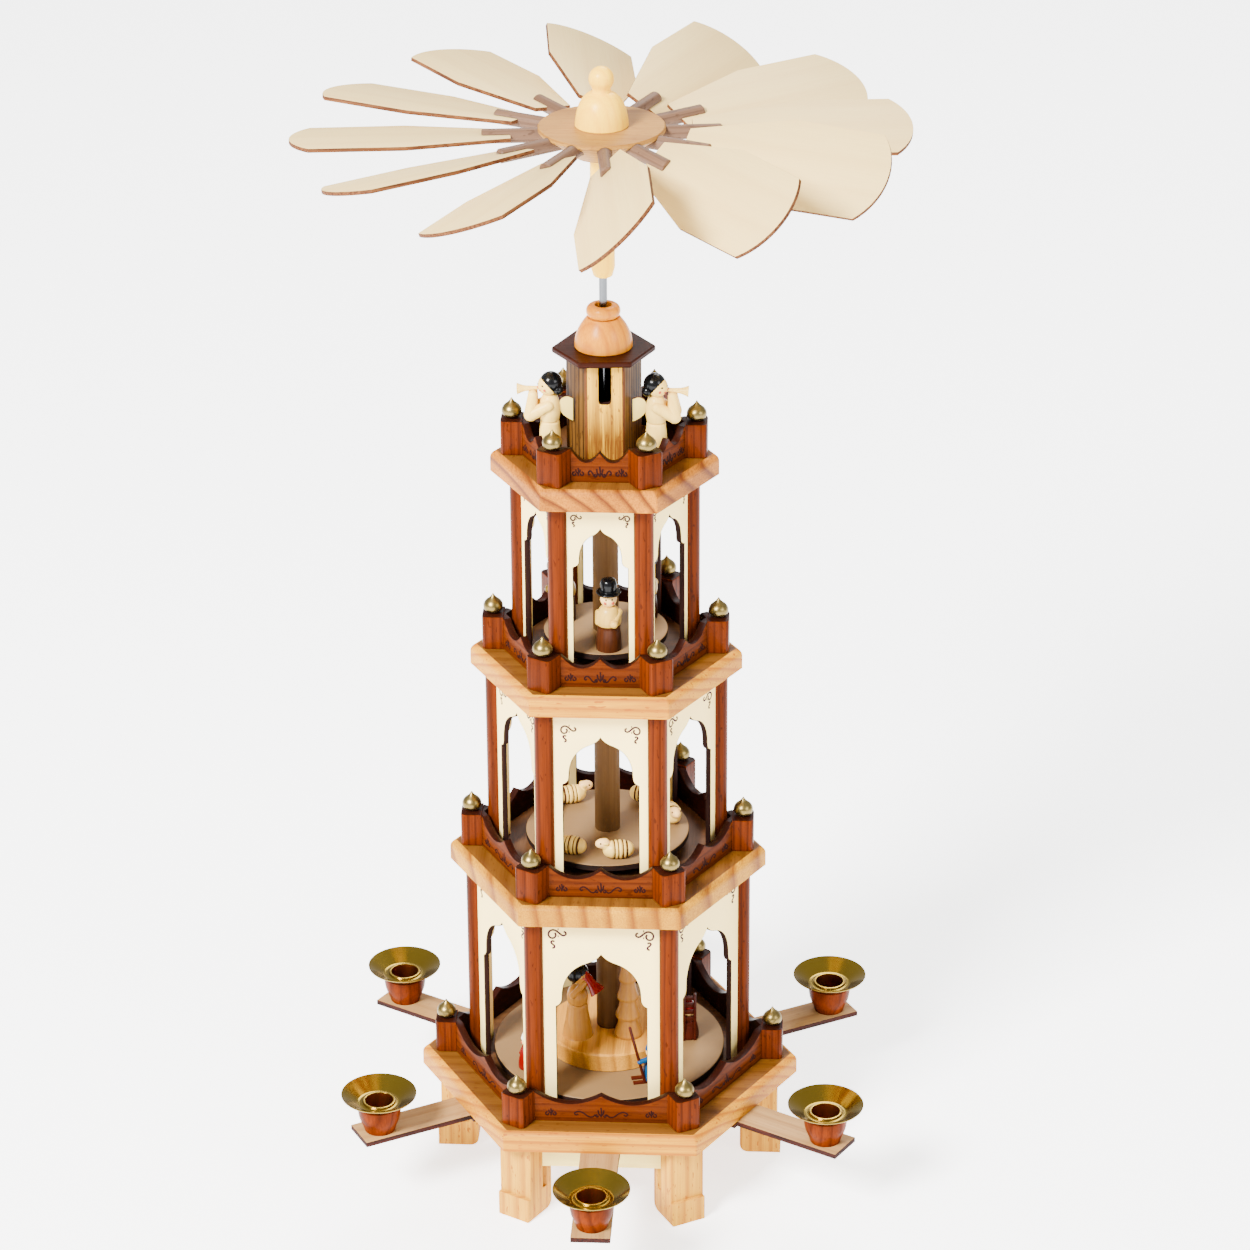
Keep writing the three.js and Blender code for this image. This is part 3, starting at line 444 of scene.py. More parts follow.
# A light and a dark tone, each the name of a sidebar colour or screen values, and what is special
WOODS = {
    "pine": ("pine", "pine_ring", dict(ring=5, contrast=0.85, fleck=0.9)),
    "pine_banded": ("pine", (96, 37, 0), dict(ring=12, contrast=0.85, pith=(0, -0.325, -0.01), wobble=1.5)),
    "pine_diagonal": ((196, 120, 13), (79, 30, 1),
                      dict(ring=8, contrast=0.95, pith=(0, -0.666, -0.184), wobble=2.5)),
    "pine_step": ((224, 158, 51), (108, 51, 7), dict(ring=8, contrast=0.6, fleck=0.1, pith=(0, 0, 0.05))),
    "leg": ((211, 157, 34), (150, 86, 12), dict(ring=5, contrast=0.75, fleck=0.9)),
    # Painted shade on the floors inside the storeys
    "floor_stain": ((89, 57, 30), (50, 28, 13), dict(ring=4)),
    "ledge_stain": ((108, 67, 19), (64, 30, 4), dict(ring=4, contrast=0.6, fleck=0.6)),
    "rail": ((239, 217, 128), (225, 188, 97), dict(ring=7, contrast=0.3, fleck=0.1)),
    "ply": ((164, 127, 79), (115, 75, 37), dict(ring=7)),
    "blade": ("ply", (187, 150, 91), dict(ring=14, contrast=0.3, fleck=0.04, roughness=0.45)),
    "stain": ("stain", "stain_dark", dict(contrast=0.7, fleck=0.6, wobble=4, roughness=0.32, shine=0.04)),
    "fence": ((94, 39, 1), (46, 12, 1), dict(ring=2.6, contrast=0.7, fleck=0.5, roughness=0.36, shine=0.04)),
    "stain_dark": ((38, 11, 4), (20, 5, 3), dict(ring=2.6, roughness=0.4, shine=0.05)),
    "turned": ("turned", (160, 78, 1), dict(ring=5, contrast=0.6, fleck=0.1, roughness=0.3, coat=0.08)),
    "turned_pale": ((255, 203, 29), (226, 148, 13),
                    dict(ring=4, contrast=0.4, fleck=0.08, roughness=0.34, coat=0.08)),
    "peg": ("peg", (57, 37, 25), dict(fleck=0.6)),
    "roof": ((45, 15, 5), (20, 5, 2), dict(ring=3.5, roughness=0.38, shine=0.05)),
    # The spindles' brown is partly painted shade, darkened because they stand in the storeys' shade
    "spindle": ((94, 65, 32), (64, 40, 17), dict(contrast=0.35, fleck=0.1, roughness=0.6)),
    # The turret's wood darkens towards its foot as painted shadow
    "turret": ((255, 192, 28), (104, 58, 14), dict(ring=5, contrast=0.65, fleck=0.7, pith=(0, 0.011, 0.004),
                                                   wobble=6, foot=TURRET_FOOT_PAINTED_SHADE)),
    # Painted shade: a darker copy of the turret's wood for its four faces that slant away to the sides
    "turret_side": ((118, 78, 30), (26, 11, 3), dict(ring=2.4, contrast=1.0, fleck=0.6, wobble=5)),
    "corner": ((96, 52, 20), (50, 24, 9), dict(contrast=0.6, fleck=0.4)),
    "cup": ((112, 42, 3), (46, 13, 2), dict(ring=5, contrast=0.7, roughness=0.3, shine=0.03)),
    "figure": ((231, 194, 99), (214, 160, 66), {**CARVED, "fleck": 0.06}),
    "tan": ((164, 110, 37), (102, 57, 13), CARVED),
    "cream": ((206, 166, 72), (160, 112, 40), CARVED),
    "hub": ((165, 118, 47), (109, 65, 19), dict(ring=2.2, contrast=0.7, fleck=0.4)),
    "coat": ((69, 33, 13), (37, 15, 6), dict(ring=2.6, roughness=0.35)),
}

# Plywood edges have a light and a dark layer
SCORCHED = {
    "blade_edge": ((103, 62, 30), (62, 30, 13)),
    "arm_edge": ((52, 18, 10), (23, 7, 5)),
    # On the turntables this covers the scorched rims, and the undersides as painted shade
    "edge": ((32, 14, 7), (15, 7, 4)),
}

# Paints have their roughness and their coat of varnish beside the tones, metals their roughness
PAINTS = {
    "groove": ((72, 40, 15), (47, 23, 8), 0.7, 0.0),
    "ivory": ("ivory", (244, 207, 121), 0.5, 0.05),
    "greige": ("greige", (98, 70, 40), 0.55, 0.05),
    "ornament": ("ornament", (33, 15, 20), 0.6, 0.0),
    "scorch": ((28, 3, 2), (14, 2, 1), 0.7, 0.0),
    "red": ((116, 3, 3), (72, 1, 1), 0.15, 0.3),
    "blue": ((15, 65, 106), (7, 38, 72), 0.3, 0.2),
    "brown": ((64, 18, 6), (35, 8, 3), 0.4, 0.1),
    "black": ((6, 6, 7), (3, 3, 3), 0.14, 0.15),
    "white": ((233, 223, 193), (213, 198, 163), 0.4, 0.2),
    "wing": ((221, 192, 99), (199, 165, 75), 0.5, 0.1),
    "face": ((243, 195, 121), (225, 164, 88), 0.4, 0.1),
    "cheek": ((175, 69, 43), (158, 54, 35), 0.45, 0.1),
}
METALS = {
    "brass": ("brass", (82, 64, 15), 0.16),
    # Painted highlight: lighter brass on the socket's lip, where light catches it
    "lip": ((172, 143, 60), (133, 101, 32), 0.22),
    # Painted shade: a darker brass inside the socket's well
    "well": ((143, 76, 27), (96, 43, 11), 0.3),
    "gold": ("gold", (79, 64, 31), 0.3),
    "steel": ((109, 111, 114), (60, 62, 65), 0.2),
}
FINISHES = {}


def tone_of(value):
    """Linear light of a tone given by a sidebar colour's name or by screen values."""
    return tuple(getattr(paints(), value)) if isinstance(value, str) else srgb(*value)


def make_finishes():
    """Fills FINISHES with the materials, by name."""
    for name, (light, dark, special) in WOODS.items():
        FINISHES[name] = wood(name, tone_of(light), tone_of(dark), **special)
    for make, table in ((burnt_wood, SCORCHED), (lacquer, PAINTS), (metal, METALS)):
        for name, (light, dark, *special) in table.items():
            FINISHES[name] = make(name, tone_of(light), tone_of(dark), *special)
    # Scorched walls of the arches, and painted shade in the turret's bore and slot
    burnt = tone_of("burnt")
    FINISHES["burnt"] = burnt_wood("burnt", burnt, tuple(0.55 * value for value in burnt))


# Modelling by hand
def rest_hands():
    """Leaves edit mode and selects nothing."""
    active = bpy.context.object
    if active and active.mode != "OBJECT":
        bpy.ops.object.mode_set(mode="OBJECT")
    bpy.ops.object.select_all(action="DESELECT")


def take(*pieces):
    """Selects pieces and makes the first one active."""
    rest_hands()
    for piece in pieces:
        piece.select_set(True)
    bpy.context.view_layer.objects.active = pieces[0]


def christen(piece, name):
    """Names a piece and its mesh."""
    piece.name = name
    piece.data.name = name
    return piece


def settle(piece):
    """Puts a piece's place, turn and size into its mesh."""
    take(piece)
    bpy.ops.object.transform_apply(location=True, rotation=True, scale=True)
    return piece


def turn_to(piece, x=0, z=0, move=(0, 0, 0)):
    """Turns a piece by angles in degrees, moves it by millimetres and settles it."""
    piece.rotation_euler = (math.radians(x), 0, math.radians(z))
    piece.location = Vector(move) * MM
    return settle(piece)


def smooth(piece, angle=35):
    """Smooth shading that keeps edges sharper than an angle."""
    take(piece)
    bpy.ops.object.shade_smooth_by_angle(angle=math.radians(angle))
    return piece


def tidy_shell():
    """Merges doubles in the edited mesh and points its faces outwards."""
    bpy.ops.mesh.select_all(action="SELECT")
    bpy.ops.mesh.remove_doubles(threshold=0.002 * MM)
    bpy.ops.mesh.normals_make_consistent(inside=False)


def draw(name, points):
    """A line of vertices through points in millimetres; edit mode stays on."""
    rest_hands()
    bpy.ops.mesh.primitive_plane_add(size=1)
    piece = christen(bpy.context.object, name)
    bpy.ops.object.mode_set(mode="EDIT")
    bpy.ops.mesh.select_mode(type="VERT")
    bpy.ops.mesh.select_all(action="SELECT")
    bpy.ops.mesh.merge(type="CENTER")
    bpy.ops.transform.translate(value=Vector(points[0]) * MM)
    for start, end in zip(points, points[1:]):
        step = (Vector(end) - Vector(start)) * MM
        bpy.ops.mesh.extrude_region_move(TRANSFORM_OT_translate={"value": step})
    return piece


def turn_profile(name, profile, facets=None, keep=35):
    """A profile of (radius, height) points spun round the Z axis like work on a lathe."""
    piece = draw(name, [(radius, 0, height) for radius, height in profile])
    bpy.ops.mesh.select_all(action="SELECT")
    bpy.ops.mesh.spin(
        steps=facets or sizes().facets, angle=2 * math.pi, center=(0, 0, 0), axis=(0, 0, 1)
    )
    tidy_shell()
    return smooth(piece, keep)


def sweep_face(name, points, sweep, edge=0.0, keep=35):
    """A flat outline through points, filled, swept along a vector and its rims bevelled."""
    piece = draw(name, points)
    bpy.ops.mesh.select_all(action="SELECT")
    bpy.ops.mesh.edge_face_add()
    bpy.ops.mesh.extrude_region_move(TRANSFORM_OT_translate={"value": Vector(sweep) * MM})
    tidy_shell()
    if edge:
        along = Vector(sweep).normalized()
        near = Vector(points[0]).dot(along) * MM
        far = near + Vector(sweep).length * MM
        select_edges(piece, lambda middle, angle: angle > 60 and (
            abs(middle.dot(along) - near) < SAME_PLACE or abs(middle.dot(along) - far) < SAME_PLACE
        ))
        bpy.ops.mesh.bevel(offset=edge, segments=2, affect="EDGES", clamp_overlap=True)
    return smooth(piece, keep)


def cut_plate(name, outline, thickness, edge):
    """A sheet cut to an outline of (x, z) points, from y = 0 back to its thickness."""
    return sweep_face(name, [(x, 0, z) for x, z in outline], (0, thickness, 0), edge)


def select_edges(piece, test):
    """Selects the edges whose middle and angle in degrees pass a test."""
    bpy.ops.mesh.select_all(action="DESELECT")
    bpy.ops.mesh.select_mode(type="EDGE")
    work = bmesh.from_edit_mesh(piece.data)
    for edge in work.edges:
        middle = (edge.verts[0].co + edge.verts[1].co) / 2
        angle = math.degrees(edge.calc_face_angle(0))
        edge.select_set(bool(test(middle, angle)))
    work.select_flush_mode()
    bmesh.update_edit_mesh(piece.data)


def select_faces(piece, test):
    """Selects the faces whose middle and normal pass a test."""
    bpy.ops.mesh.select_all(action="DESELECT")
    bpy.ops.mesh.select_mode(type="FACE")
    work = bmesh.from_edit_mesh(piece.data)
    for face in work.faces:
        face.select_set(bool(test(face.calc_center_median(), face.normal)))
    work.select_flush_mode()
    bmesh.update_edit_mesh(piece.data)


def edit(piece):
    """Opens a piece in edit mode."""
    take(piece)
    bpy.ops.object.mode_set(mode="EDIT")


def box(name, low, high, edge, test=None):
    """A block between two corners, with all its edges broken or those that pass a test."""
    rest_hands()
    low, high = Vector(low) * MM, Vector(high) * MM
    bpy.ops.mesh.primitive_cube_add(size=1, location=(low + high) / 2, scale=high - low)
    piece = settle(christen(bpy.context.object, name))
    edit(piece)
    select_edges(piece, test or (lambda middle, angle: True))
    bpy.ops.mesh.bevel(offset=edge, segments=2, affect="EDGES")
    return smooth(piece)


def ball(name, radius, place, finish, stretch=(1, 1, 1)):
    """A round or stretched ball in one finish."""
    rest_hands()
    bpy.ops.mesh.primitive_uv_sphere_add(
        segments=24, ring_count=16, radius=radius * MM, location=Vector(place) * MM, scale=stretch,
    )
    return wooden(smooth(settle(christen(bpy.context.object, name)), 60), finish)


def lay(piece, start, end):
    """Lays a piece that stands on its origin along the line from one point to another."""
    piece.rotation_mode = "QUATERNION"
    piece.rotation_quaternion = (Vector(end) - Vector(start)).to_track_quat("Z", "X")
    piece.location = Vector(start) * MM
    settle(piece)
    piece.rotation_mode = "XYZ"
    return piece


def arc(radius, start, sweep, steps, centre=(0, 0)):
    """Points on an arc from a start angle through a sweep, both in degrees."""
    points = []
    for step in range(steps + 1):
        turn = math.radians(start + sweep * step / steps)
        points.append((centre[0] + radius * math.cos(turn), centre[1] + radius * math.sin(turn)))
    return points


def limb(name, start, end, start_radius, end_radius, finish):
    """A tapered bar with round ends between two points, in one finish."""
    length = (Vector(end) - Vector(start)).length
    profile = [*arc(start_radius, -90, 90, 6), *arc(end_radius, 0, 90, 6, (0, length))]
    return wooden(lay(turn_profile(name, profile, 20, 60), start, end), finish)


def wooden(piece, finish, along="Z", shift=0.0):
    """Gives a piece one finish and its grain."""
    return grain(coat(piece, finish), along, shift)


def bend(points, steps):
    """Points along a Bezier curve of any degree, without its first point."""
    result = []
    for step in range(1, steps + 1):
        level = [Vector(point) for point in points]
        while len(level) > 1:
            level = [a.lerp(b, step / steps) for a, b in zip(level, level[1:])]
        result.append(tuple(level[0]))
    return result


def flow(points, steps):
    """Points on a smooth curve through a few points."""
    ends = [points[0], *points, points[-1]]
    result = [tuple(points[0])]
    for before, start, end, after in zip(ends, ends[1:], ends[2:], ends[3:]):
        start, end = Vector(start), Vector(end)
        lead = start + (end - Vector(before)) / 6
        trail = end - (Vector(after) - start) / 6
        result += bend([start, lead, trail, end], steps)
    return result


def cut_away(piece, cutter):
    """Cuts a second piece's shape out of a piece."""
    take(piece)
    bpy.ops.object.modifier_add(type="BOOLEAN")
    piece.modifiers[-1].operation = "DIFFERENCE"
    piece.modifiers[-1].object = cutter
    piece.modifiers[-1].solver = "EXACT"
    bpy.ops.object.modifier_apply(modifier=piece.modifiers[-1].name)
    discard(cutter)
    return smooth(piece)


def drill(piece, radius, bottom, top):
    """Drills an upright hole on the axis, from one height to another."""
    rest_hands()
    bpy.ops.mesh.primitive_cylinder_add(
        vertices=32, radius=radius * MM, depth=(top - bottom) * MM,
        location=(0, 0, (bottom + top) / 2 * MM),
    )
    return cut_away(piece, settle(bpy.context.object))


def join(name, pieces):
    """Joins pieces into the first one."""
    take(*pieces)
    if len(pieces) > 1:
        bpy.ops.object.join()
    return christen(bpy.context.object, name)


def discard(*pieces):
    """Removes cutters, and models that only copies were made of."""
    take(*pieces)
    bpy.ops.object.delete()


def plank_step(shift):
    """How far apart in the plank two pieces were cut."""
    return Vector((1.7, 0.83, 0.61)) * shift * 0.1


def grain(piece, along="X", shift=0.0):
    """Stores where each point lies in the plank it was cut from, with the fibre along X."""
    order = {"X": (0, 1, 2), "Y": (1, 2, 0), "Z": (2, 0, 1)}[along]
    attribute = piece.data.attributes.new("grain", "FLOAT_VECTOR", "POINT")
    for vertex, value in zip(piece.data.vertices, attribute.data):
        value.vector = Vector([vertex.co[axis] for axis in order]) + plank_step(shift)
    return piece


def coat(piece, *names):
    """Gives a piece its finishes; the first covers it."""
    for name in names:
        piece.data.materials.append(FINISHES[name])
    return piece


def coat_faces(piece, index, test):
    """Gives the faces whose middle (in millimetres) and normal pass a test another finish."""
    for face in piece.data.polygons:
        if test(face.center / MM, face.normal):
            face.material_index = index
    return piece


def two_tone(piece, main, other, test, along="Z", shift=0.0):
    """Gives a piece its grain, one finish, and another on the faces that pass a test."""
    return grain(coat_faces(coat(piece, main, other), 1, test), along, shift)


def copy_of(piece, name, shift):
    """A copy with its own mesh, as if cut from another part of the plank."""
    take(piece)
    bpy.ops.object.duplicate()
    copy = christen(bpy.context.object, name)
    for value in copy.data.attributes["grain"].data:
        value.vector = value.vector + plank_step(shift)
    return copy


def set_round(piece, name):
    """Six copies of a piece turned round the shaft's axis and joined."""
    pieces = [turn_to(copy_of(piece, name, 1.0 + number), z=angle)
              for number, angle in enumerate(SIDE_ANGLES)]
    discard(piece)
    return join(name, pieces)


def raise_to(piece, height):
    """Lifts a finished piece to a height in millimetres."""
    return turn_to(piece, move=(0, 0, height))


def deliver(piece, body, node):
    """Fixes a piece to a body and lets it stand for its node."""
    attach(piece, body)
    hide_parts(node)


def surround(level, piece, node, kind, lift=0):
    """Sets six copies of a piece round a storey and delivers them for the storey's node."""
    whole = raise_to(set_round(piece, f"{node}_{level.number}_{kind}"), level.top + lift)
    deliver(whole, "stand", f"{node}_{level.number}")


def tube(bore, side, top):
    """The closed profile of a turned piece whose bore runs from height 0 to its top."""
    return [(bore, 0), *side, (bore, top), (bore, 0)]


def deliver_turned(node, name, profile, finish, body, facets=None, keep=35, along="Z"):
    """Turns a piece from its profile, stands it where its node starts and delivers it."""
    piece = wooden(turn_profile(name, profile, facets, keep), finish, along)
    deliver(raise_to(piece, node_box(node)[0].z), body, node)


def curl(centre, radius, sweep):
    """A spiral path from its open end at the top inwards, through an angle in degrees."""
    path = []
    for step in range(11):
        size = radius * (1 - 0.07 * step)
        angle = math.radians(90 + 0.1 * sweep * step)
        path.append((centre[0] + size * math.cos(angle), centre[1] + size * math.sin(angle)))
    return path


def strokes(name, paths, width, finish):
    """Painted strokes along (x, z) paths, flat and just proud of the plane y = 0."""
    pieces = []
    for path in paths:
        take(draw(name, [(x, 0, z) for x, z in path]))
        bpy.ops.object.convert(target="CURVE")
        line = bpy.context.object.data
        line.bevel_depth = width / 2 * MM
        line.bevel_resolution = 1
        line.use_fill_caps = True
        bpy.ops.object.convert(target="MESH")
        pieces.append(bpy.context.object)
    whole = join(name, pieces)
    whole.scale = (1, 2 * PAINT_LIFT / width, 1)
    return wooden(settle(whole), finish)


def lathe(name, points, finish, facets=28):
    """A turned part through a few points of its profile, in one finish."""
    return wooden(turn_profile(name, flow(points, 4), facets, 50), finish)


def stand_at(piece, radius, angle, height, facing):
    """Stands a figure at a distance and an angle from the axis, facing a direction."""
    turn = math.radians(angle)
    return turn_to(piece, z=facing, move=(radius * math.cos(turn), radius * math.sin(turn), height))


class PyramidOperator:
    """What the operators of the pyramid share: each one only says what it models."""

    bl_options = {"REGISTER", "UNDO"}

    def execute(self, context):
        self.model(context)
        return {"FINISHED"}


class PYRAMID_OT_stage(PyramidOperator, bpy.types.Operator):
    """Pale floor, soft studio light and the photograph's camera"""

    bl_idname = "pyramid.stage"
    bl_label = "Stage"

    def model(self, context):
        rest_hands()
        bpy.ops.mesh.primitive_plane_add(size=12)
        floor = christen(bpy.context.object, "floor")
        ground = Finish("floor", (0.9, 0.9, 0.9), 0.8)
        ground.shader.inputs["Emission Color"].default_value = (1, 1, 1, 1)
        ground.shader.inputs["Emission Strength"].default_value = FLOOR_GLOW
        floor.data.materials.append(ground.paint())
        world = bpy.data.worlds.new("studio")
        world.use_nodes = True
        world.node_tree.nodes["Background"].inputs["Color"].default_value = (1, 1, 1, 1)
        world.node_tree.nodes["Background"].inputs["Strength"].default_value = SKY_LIGHT
        context.scene.world = world
        for name, place, size, power in LAMPS:
            bpy.ops.object.light_add(type="AREA", location=place)
            light = bpy.context.object
            light.name = name
            light.data.size = size
            light.data.energy = power
            aim = Vector((0, 0, 0.3)) - Vector(place)
            light.rotation_euler = aim.to_track_quat("-Z", "Y").to_euler()
        self.add_camera(context)

    def add_camera(self, context):
        """The camera that took the photograph."""
        azimuth, elevation, roll = map(math.radians, (CAMERA_AZIMUTH, CAMERA_ELEVATION, CAMERA_ROLL))
        back = Vector((
            math.sin(azimuth) * math.cos(elevation),
            -math.cos(azimuth) * math.cos(elevation),
            math.sin(elevation),
        ))
        level_right = Vector((math.cos(azimuth), math.sin(azimuth), 0))
        level_up = back.cross(level_right)
        right = math.cos(roll) * level_right + math.sin(roll) * level_up
        up = -math.sin(roll) * level_right + math.cos(roll) * level_up
        target = Vector((0, 0, CAMERA_TARGET_HEIGHT)) + right * CAMERA_SHIFT
        place = (target + back * CAMERA_DISTANCE) * MM
        bpy.ops.object.camera_add(location=place)
        camera = bpy.context.object
        camera.name = "photograph_camera"
        camera.rotation_euler = Matrix((right, up, back)).transposed().to_euler()
        camera.data.lens = CAMERA_LENS
        camera.data.sensor_width = 36
        camera.data.sensor_fit = "HORIZONTAL"
        camera.data.clip_end = 50
        context.scene.camera = camera


class PYRAMID_OT_base(PyramidOperator, bpy.types.Operator):
    """Six slotted legs with plinths and the rails let into them"""

    bl_idname = "pyramid.base"
    bl_label = "Base"

    def model(self, context):
        ground = LEVELS[0]
        rail_middle = ground.radius * FLAT - RAIL_INSET - RAIL_THICKNESS / 2
        rail_half = rail_middle * math.tan(math.pi / 6) - LEG_WIDTH / 2 / FLAT + RAIL_TONGUE
        rail_bottom = ground.bottom - RAIL_HEIGHT
        leg = self.leg(ground)
        for angle in (60, 120):
            slot = box("slot", (-rail_half, -rail_middle - RAIL_SLOT_HALF, rail_bottom - RAIL_SLOT),
                       (rail_half, -rail_middle + RAIL_SLOT_HALF, rail_bottom + 1), SHARP_EDGE)
            leg = cut_away(leg, turn_to(slot, z=angle))
        legs = set_round(wooden(leg, "leg"), "legs")
        rail = self.rail(rail_half, rail_bottom, ground.bottom)
        turn_to(rail, move=(0, -rail_middle - RAIL_THICKNESS / 2, 0))
        rails = set_round(wooden(rail, "rail", "X"), "rails")
        for piece in (legs, rails):
            deliver(piece, "stand", "leg_frame")

    def leg(self, ground):
        """A leg on the X axis with a stepped plinth and its inner foot rounded."""
        outer = ground.radius - LEG_INSET
        inner = outer - LEG_DEPTH
        foot = bend([(inner, LEG_ROUNDING), (inner, 0), (inner + LEG_ROUNDING, 0)], 6)
        outline = [
            (inner, ground.bottom), (inner, LEG_ROUNDING), *foot,
            (outer + PLINTH_STEP, 0), (outer + PLINTH_STEP, PLINTH_HEIGHT),
            (outer, PLINTH_HEIGHT), (outer, ground.bottom),
        ]
        leg = cut_plate("leg", outline, LEG_WIDTH, sizes().edge)
        return turn_to(leg, move=(0, -LEG_WIDTH / 2, 0))

    def rail(self, half, bottom, top):
        """A rail notched at the top for its candle arm."""
        notch = ARM_WIDTH / 2 + GAP
        depth = top - ARM_THICKNESS - GAP
        outline = [
            (-half, bottom), (half, bottom), (half, top), (notch, top),
            (notch, depth), (-notch, depth), (-notch, top), (-half, top),
        ]
        return cut_plate("rail", outline, RAIL_THICKNESS, sizes().ply_edge)


class PYRAMID_OT_platforms(PyramidOperator, bpy.types.Operator):
    """Hexagonal pine platforms with a rounded upper edge and painted shade on the floor inside the fence"""

    bl_idname = "pyramid.platforms"
    bl_label = "Platforms"

    def model(self, context):
        timbers = ("pine", "pine_banded", "pine", "pine_diagonal")
        for level, timber in zip(LEVELS, timbers):
            board = self.board(level)
            if level.number == 1:
                drill(board, SEAT_RADIUS, level.top - SEAT_DEPTH, level.top + 1)
            else:
                drill(board, BORE, level.bottom - 1, level.top + 1)
            coat(board, timber, "ledge_stain", "floor_stain")
            outer = level.radius * FLAT - sizes().platform_round / MM
            inner = level.fence - FENCE_THICKNESS / 2
            border = 0.9 * (outer + inner) / 2
            coat_faces(board, 1, lambda middle, normal: normal.z > 0.99 and middle.xy.length > border)
            # Painted shade: the floor inside the fence gets the darker wood
            coat_faces(board, 2, lambda middle, normal: normal.z > 0.99 and middle.xy.length < border)
            grain(board, "Y" if level.number in (2, 4) else "X", level.number)
            deliver(board, "stand", f"platform_{level.number}")

    def board(self, level):
        """A hexagon drawn with eased corners, raised and rounded over towards its top."""
        radius = sizes().platform_round / MM
        outline = []
        for angle, centre in zip(SIDE_ANGLES, arc(level.radius - CORNER_ROUNDING / FLAT, 0, 300, 5)):
            outline += arc(CORNER_ROUNDING, angle - 30, 60, 4, centre)
        points = [(x, y, level.bottom) for x, y in outline]
        wall = level.top - level.bottom - radius
        board = sweep_face(f"platform_{level.number}_board", points, (0, 0, wall))
        edit(board)
        top = (level.top - radius) * MM
        select_faces(board, lambda middle, normal: middle.z > top - SAME_PLACE and normal.z > 0.9)
        side = level.radius * FLAT
        inset, rise = 0.0, 0.0
        for across, up in arc(1, 0, 90, 6)[1:]:
            next_inset, next_rise = radius * (1 - across), radius * up
            self.grow(next_rise - rise, (side - next_inset) / (side - inset))
            inset, rise = next_inset, next_rise
        self.grow(0, (level.fence - FENCE_THICKNESS / 2) / (side - radius))
        return smooth(board, 30)

    def grow(self, height, factor):
        """Raises the selected face and scales it towards the axis."""
        bpy.ops.mesh.extrude_region_move(TRANSFORM_OT_translate={"value": (0, 0, height * MM)})
        bpy.ops.transform.resize(value=(factor, factor, 1), center_override=(0, 0, 0))


class PYRAMID_OT_galleries(PyramidOperator, bpy.types.Operator):
    """Posts, scalloped fences with scorched scrolls, and gold onion finials"""

    bl_idname = "pyramid.galleries"
    bl_label = "Galleries"

    def model(self, context):
        for level in LEVELS:
            surround(level, self.post(level), "gallery", "posts")
            surround(level, self.fence(level), "gallery", "fences")
            surround(level, self.finial(level), "gallery", "finials", POST_HEIGHT)

    def post(self, level):
        """A post with its outer corners rounded and a dark top."""
        half = POST_WIDTH / 2
        flank = half - POST_ROUNDING
        inner = level.posts - POST_DEPTH / 2
        outer = level.posts + POST_DEPTH / 2
        front = outer - POST_ROUNDING
        outline = [
            (inner, -half), (front, -half), *bend([(front, -half), (outer, -half), (outer, -flank)], 3),
            (outer, flank), *bend([(outer, flank), (outer, half), (front, half)], 3), (inner, half),
        ]
        post = sweep_face("post", [(x, y, 0) for x, y in outline], (0, 0, POST_HEIGHT), sizes().edge, 25)
        return two_tone(post, "stain", "stain_dark", lambda middle, normal: normal.z > 0.5)

    def finial(self, level):
        """A turned onion on a short foot."""
        shares = ((0.5, 0), (0.75, 0.08), (0.95, 0.2), (1, 0.33), (0.95, 0.47), (0.75, 0.62), (0.4, 0.76),
                  (0.15, 0.9), (0.06, 0.98))
        onion = flow([(out * FINIAL_RADIUS, up * FINIAL_HEIGHT) for out, up in shares], 3)
        profile = [(0, -0.4), (0.5 * FINIAL_RADIUS, -0.4), *onion, (0, FINIAL_HEIGHT)]
        finial = turn_profile("finial", profile, 28, 50)
        return turn_to(wooden(finial, "gold"), move=(level.posts, 0, 0))

    def fence(self, level):
        """A fence with two scallops that meet in a point, its edges and scrolls scorched."""
        half = level.posts / 2 - POST_DEPTH / 4
        scallop = level.posts / 2 - POST_WIDTH / 2 - FENCE_THICKNESS / 2
        dip = 2 * FENCE_DIP - (FENCE_HEIGHT + FENCE_POINT) / 2
        right = bend([(scallop, FENCE_HEIGHT), (scallop / 2, dip), (0, FENCE_POINT)], 14)
        left = bend([(0, FENCE_POINT), (-scallop / 2, dip), (-scallop, FENCE_HEIGHT)], 14)
        outline = [(-half, 0), (half, 0), (half, FENCE_HEIGHT), (scallop, FENCE_HEIGHT), *right, *left,
                   (-half, FENCE_HEIGHT)]
        plank = cut_plate("fence", outline, FENCE_THICKNESS, FENCE_EDGE * MM)
        two_tone(plank, "fence", "stain_dark", lambda middle, normal: normal.z > 0.3 or normal.y > 0.5,
                 "X", level.number)
        scrolls = strokes("scrolls", self.scrolls(scallop), SCROLL_WIDTH, "scorch")
        return turn_to(join("fence", [plank, scrolls]), move=(0, -level.fence, 0))

    def scrolls(self, scallop):
        """A leaf between two long waves, and a small spray near each end."""
        reach = 0.4 * scallop
        paths = [[(0, 3.0), (0.3, 5.5), (0, 8.6)]]
        for sign in (1, -1):
            paths.append([(0, 3.6), (1.2 * sign, 5.0), (1.5 * sign, 7.2)])
            paths.append(curl((1.9 * sign, 3.6), 0.9, -330 * sign))
            wave = [(0.2, 4.6), (0.34, 3.0), (0.5, 3.4), (0.66, 5.2), (0.84, 6.2), (1.0, 5.2),
                    (0.95, 4.0), (0.86, 4.6)]
            paths.append(flow([(share * reach * sign, height) for share, height in wave], 4))
            side = 0.76 * scallop * sign
            paths.append([(side, 3.4), (side + 0.3, 5.4), (side, 7.6)])
            for lean in (-1, 1):
                paths.append(curl((side + 1.7 * lean, 4.4), 1.2, -330 * lean))
                paths.append([(side, 4.6), (side + 0.9 * lean, 5.6), (side + 1.1 * lean, 6.8)])
        return paths


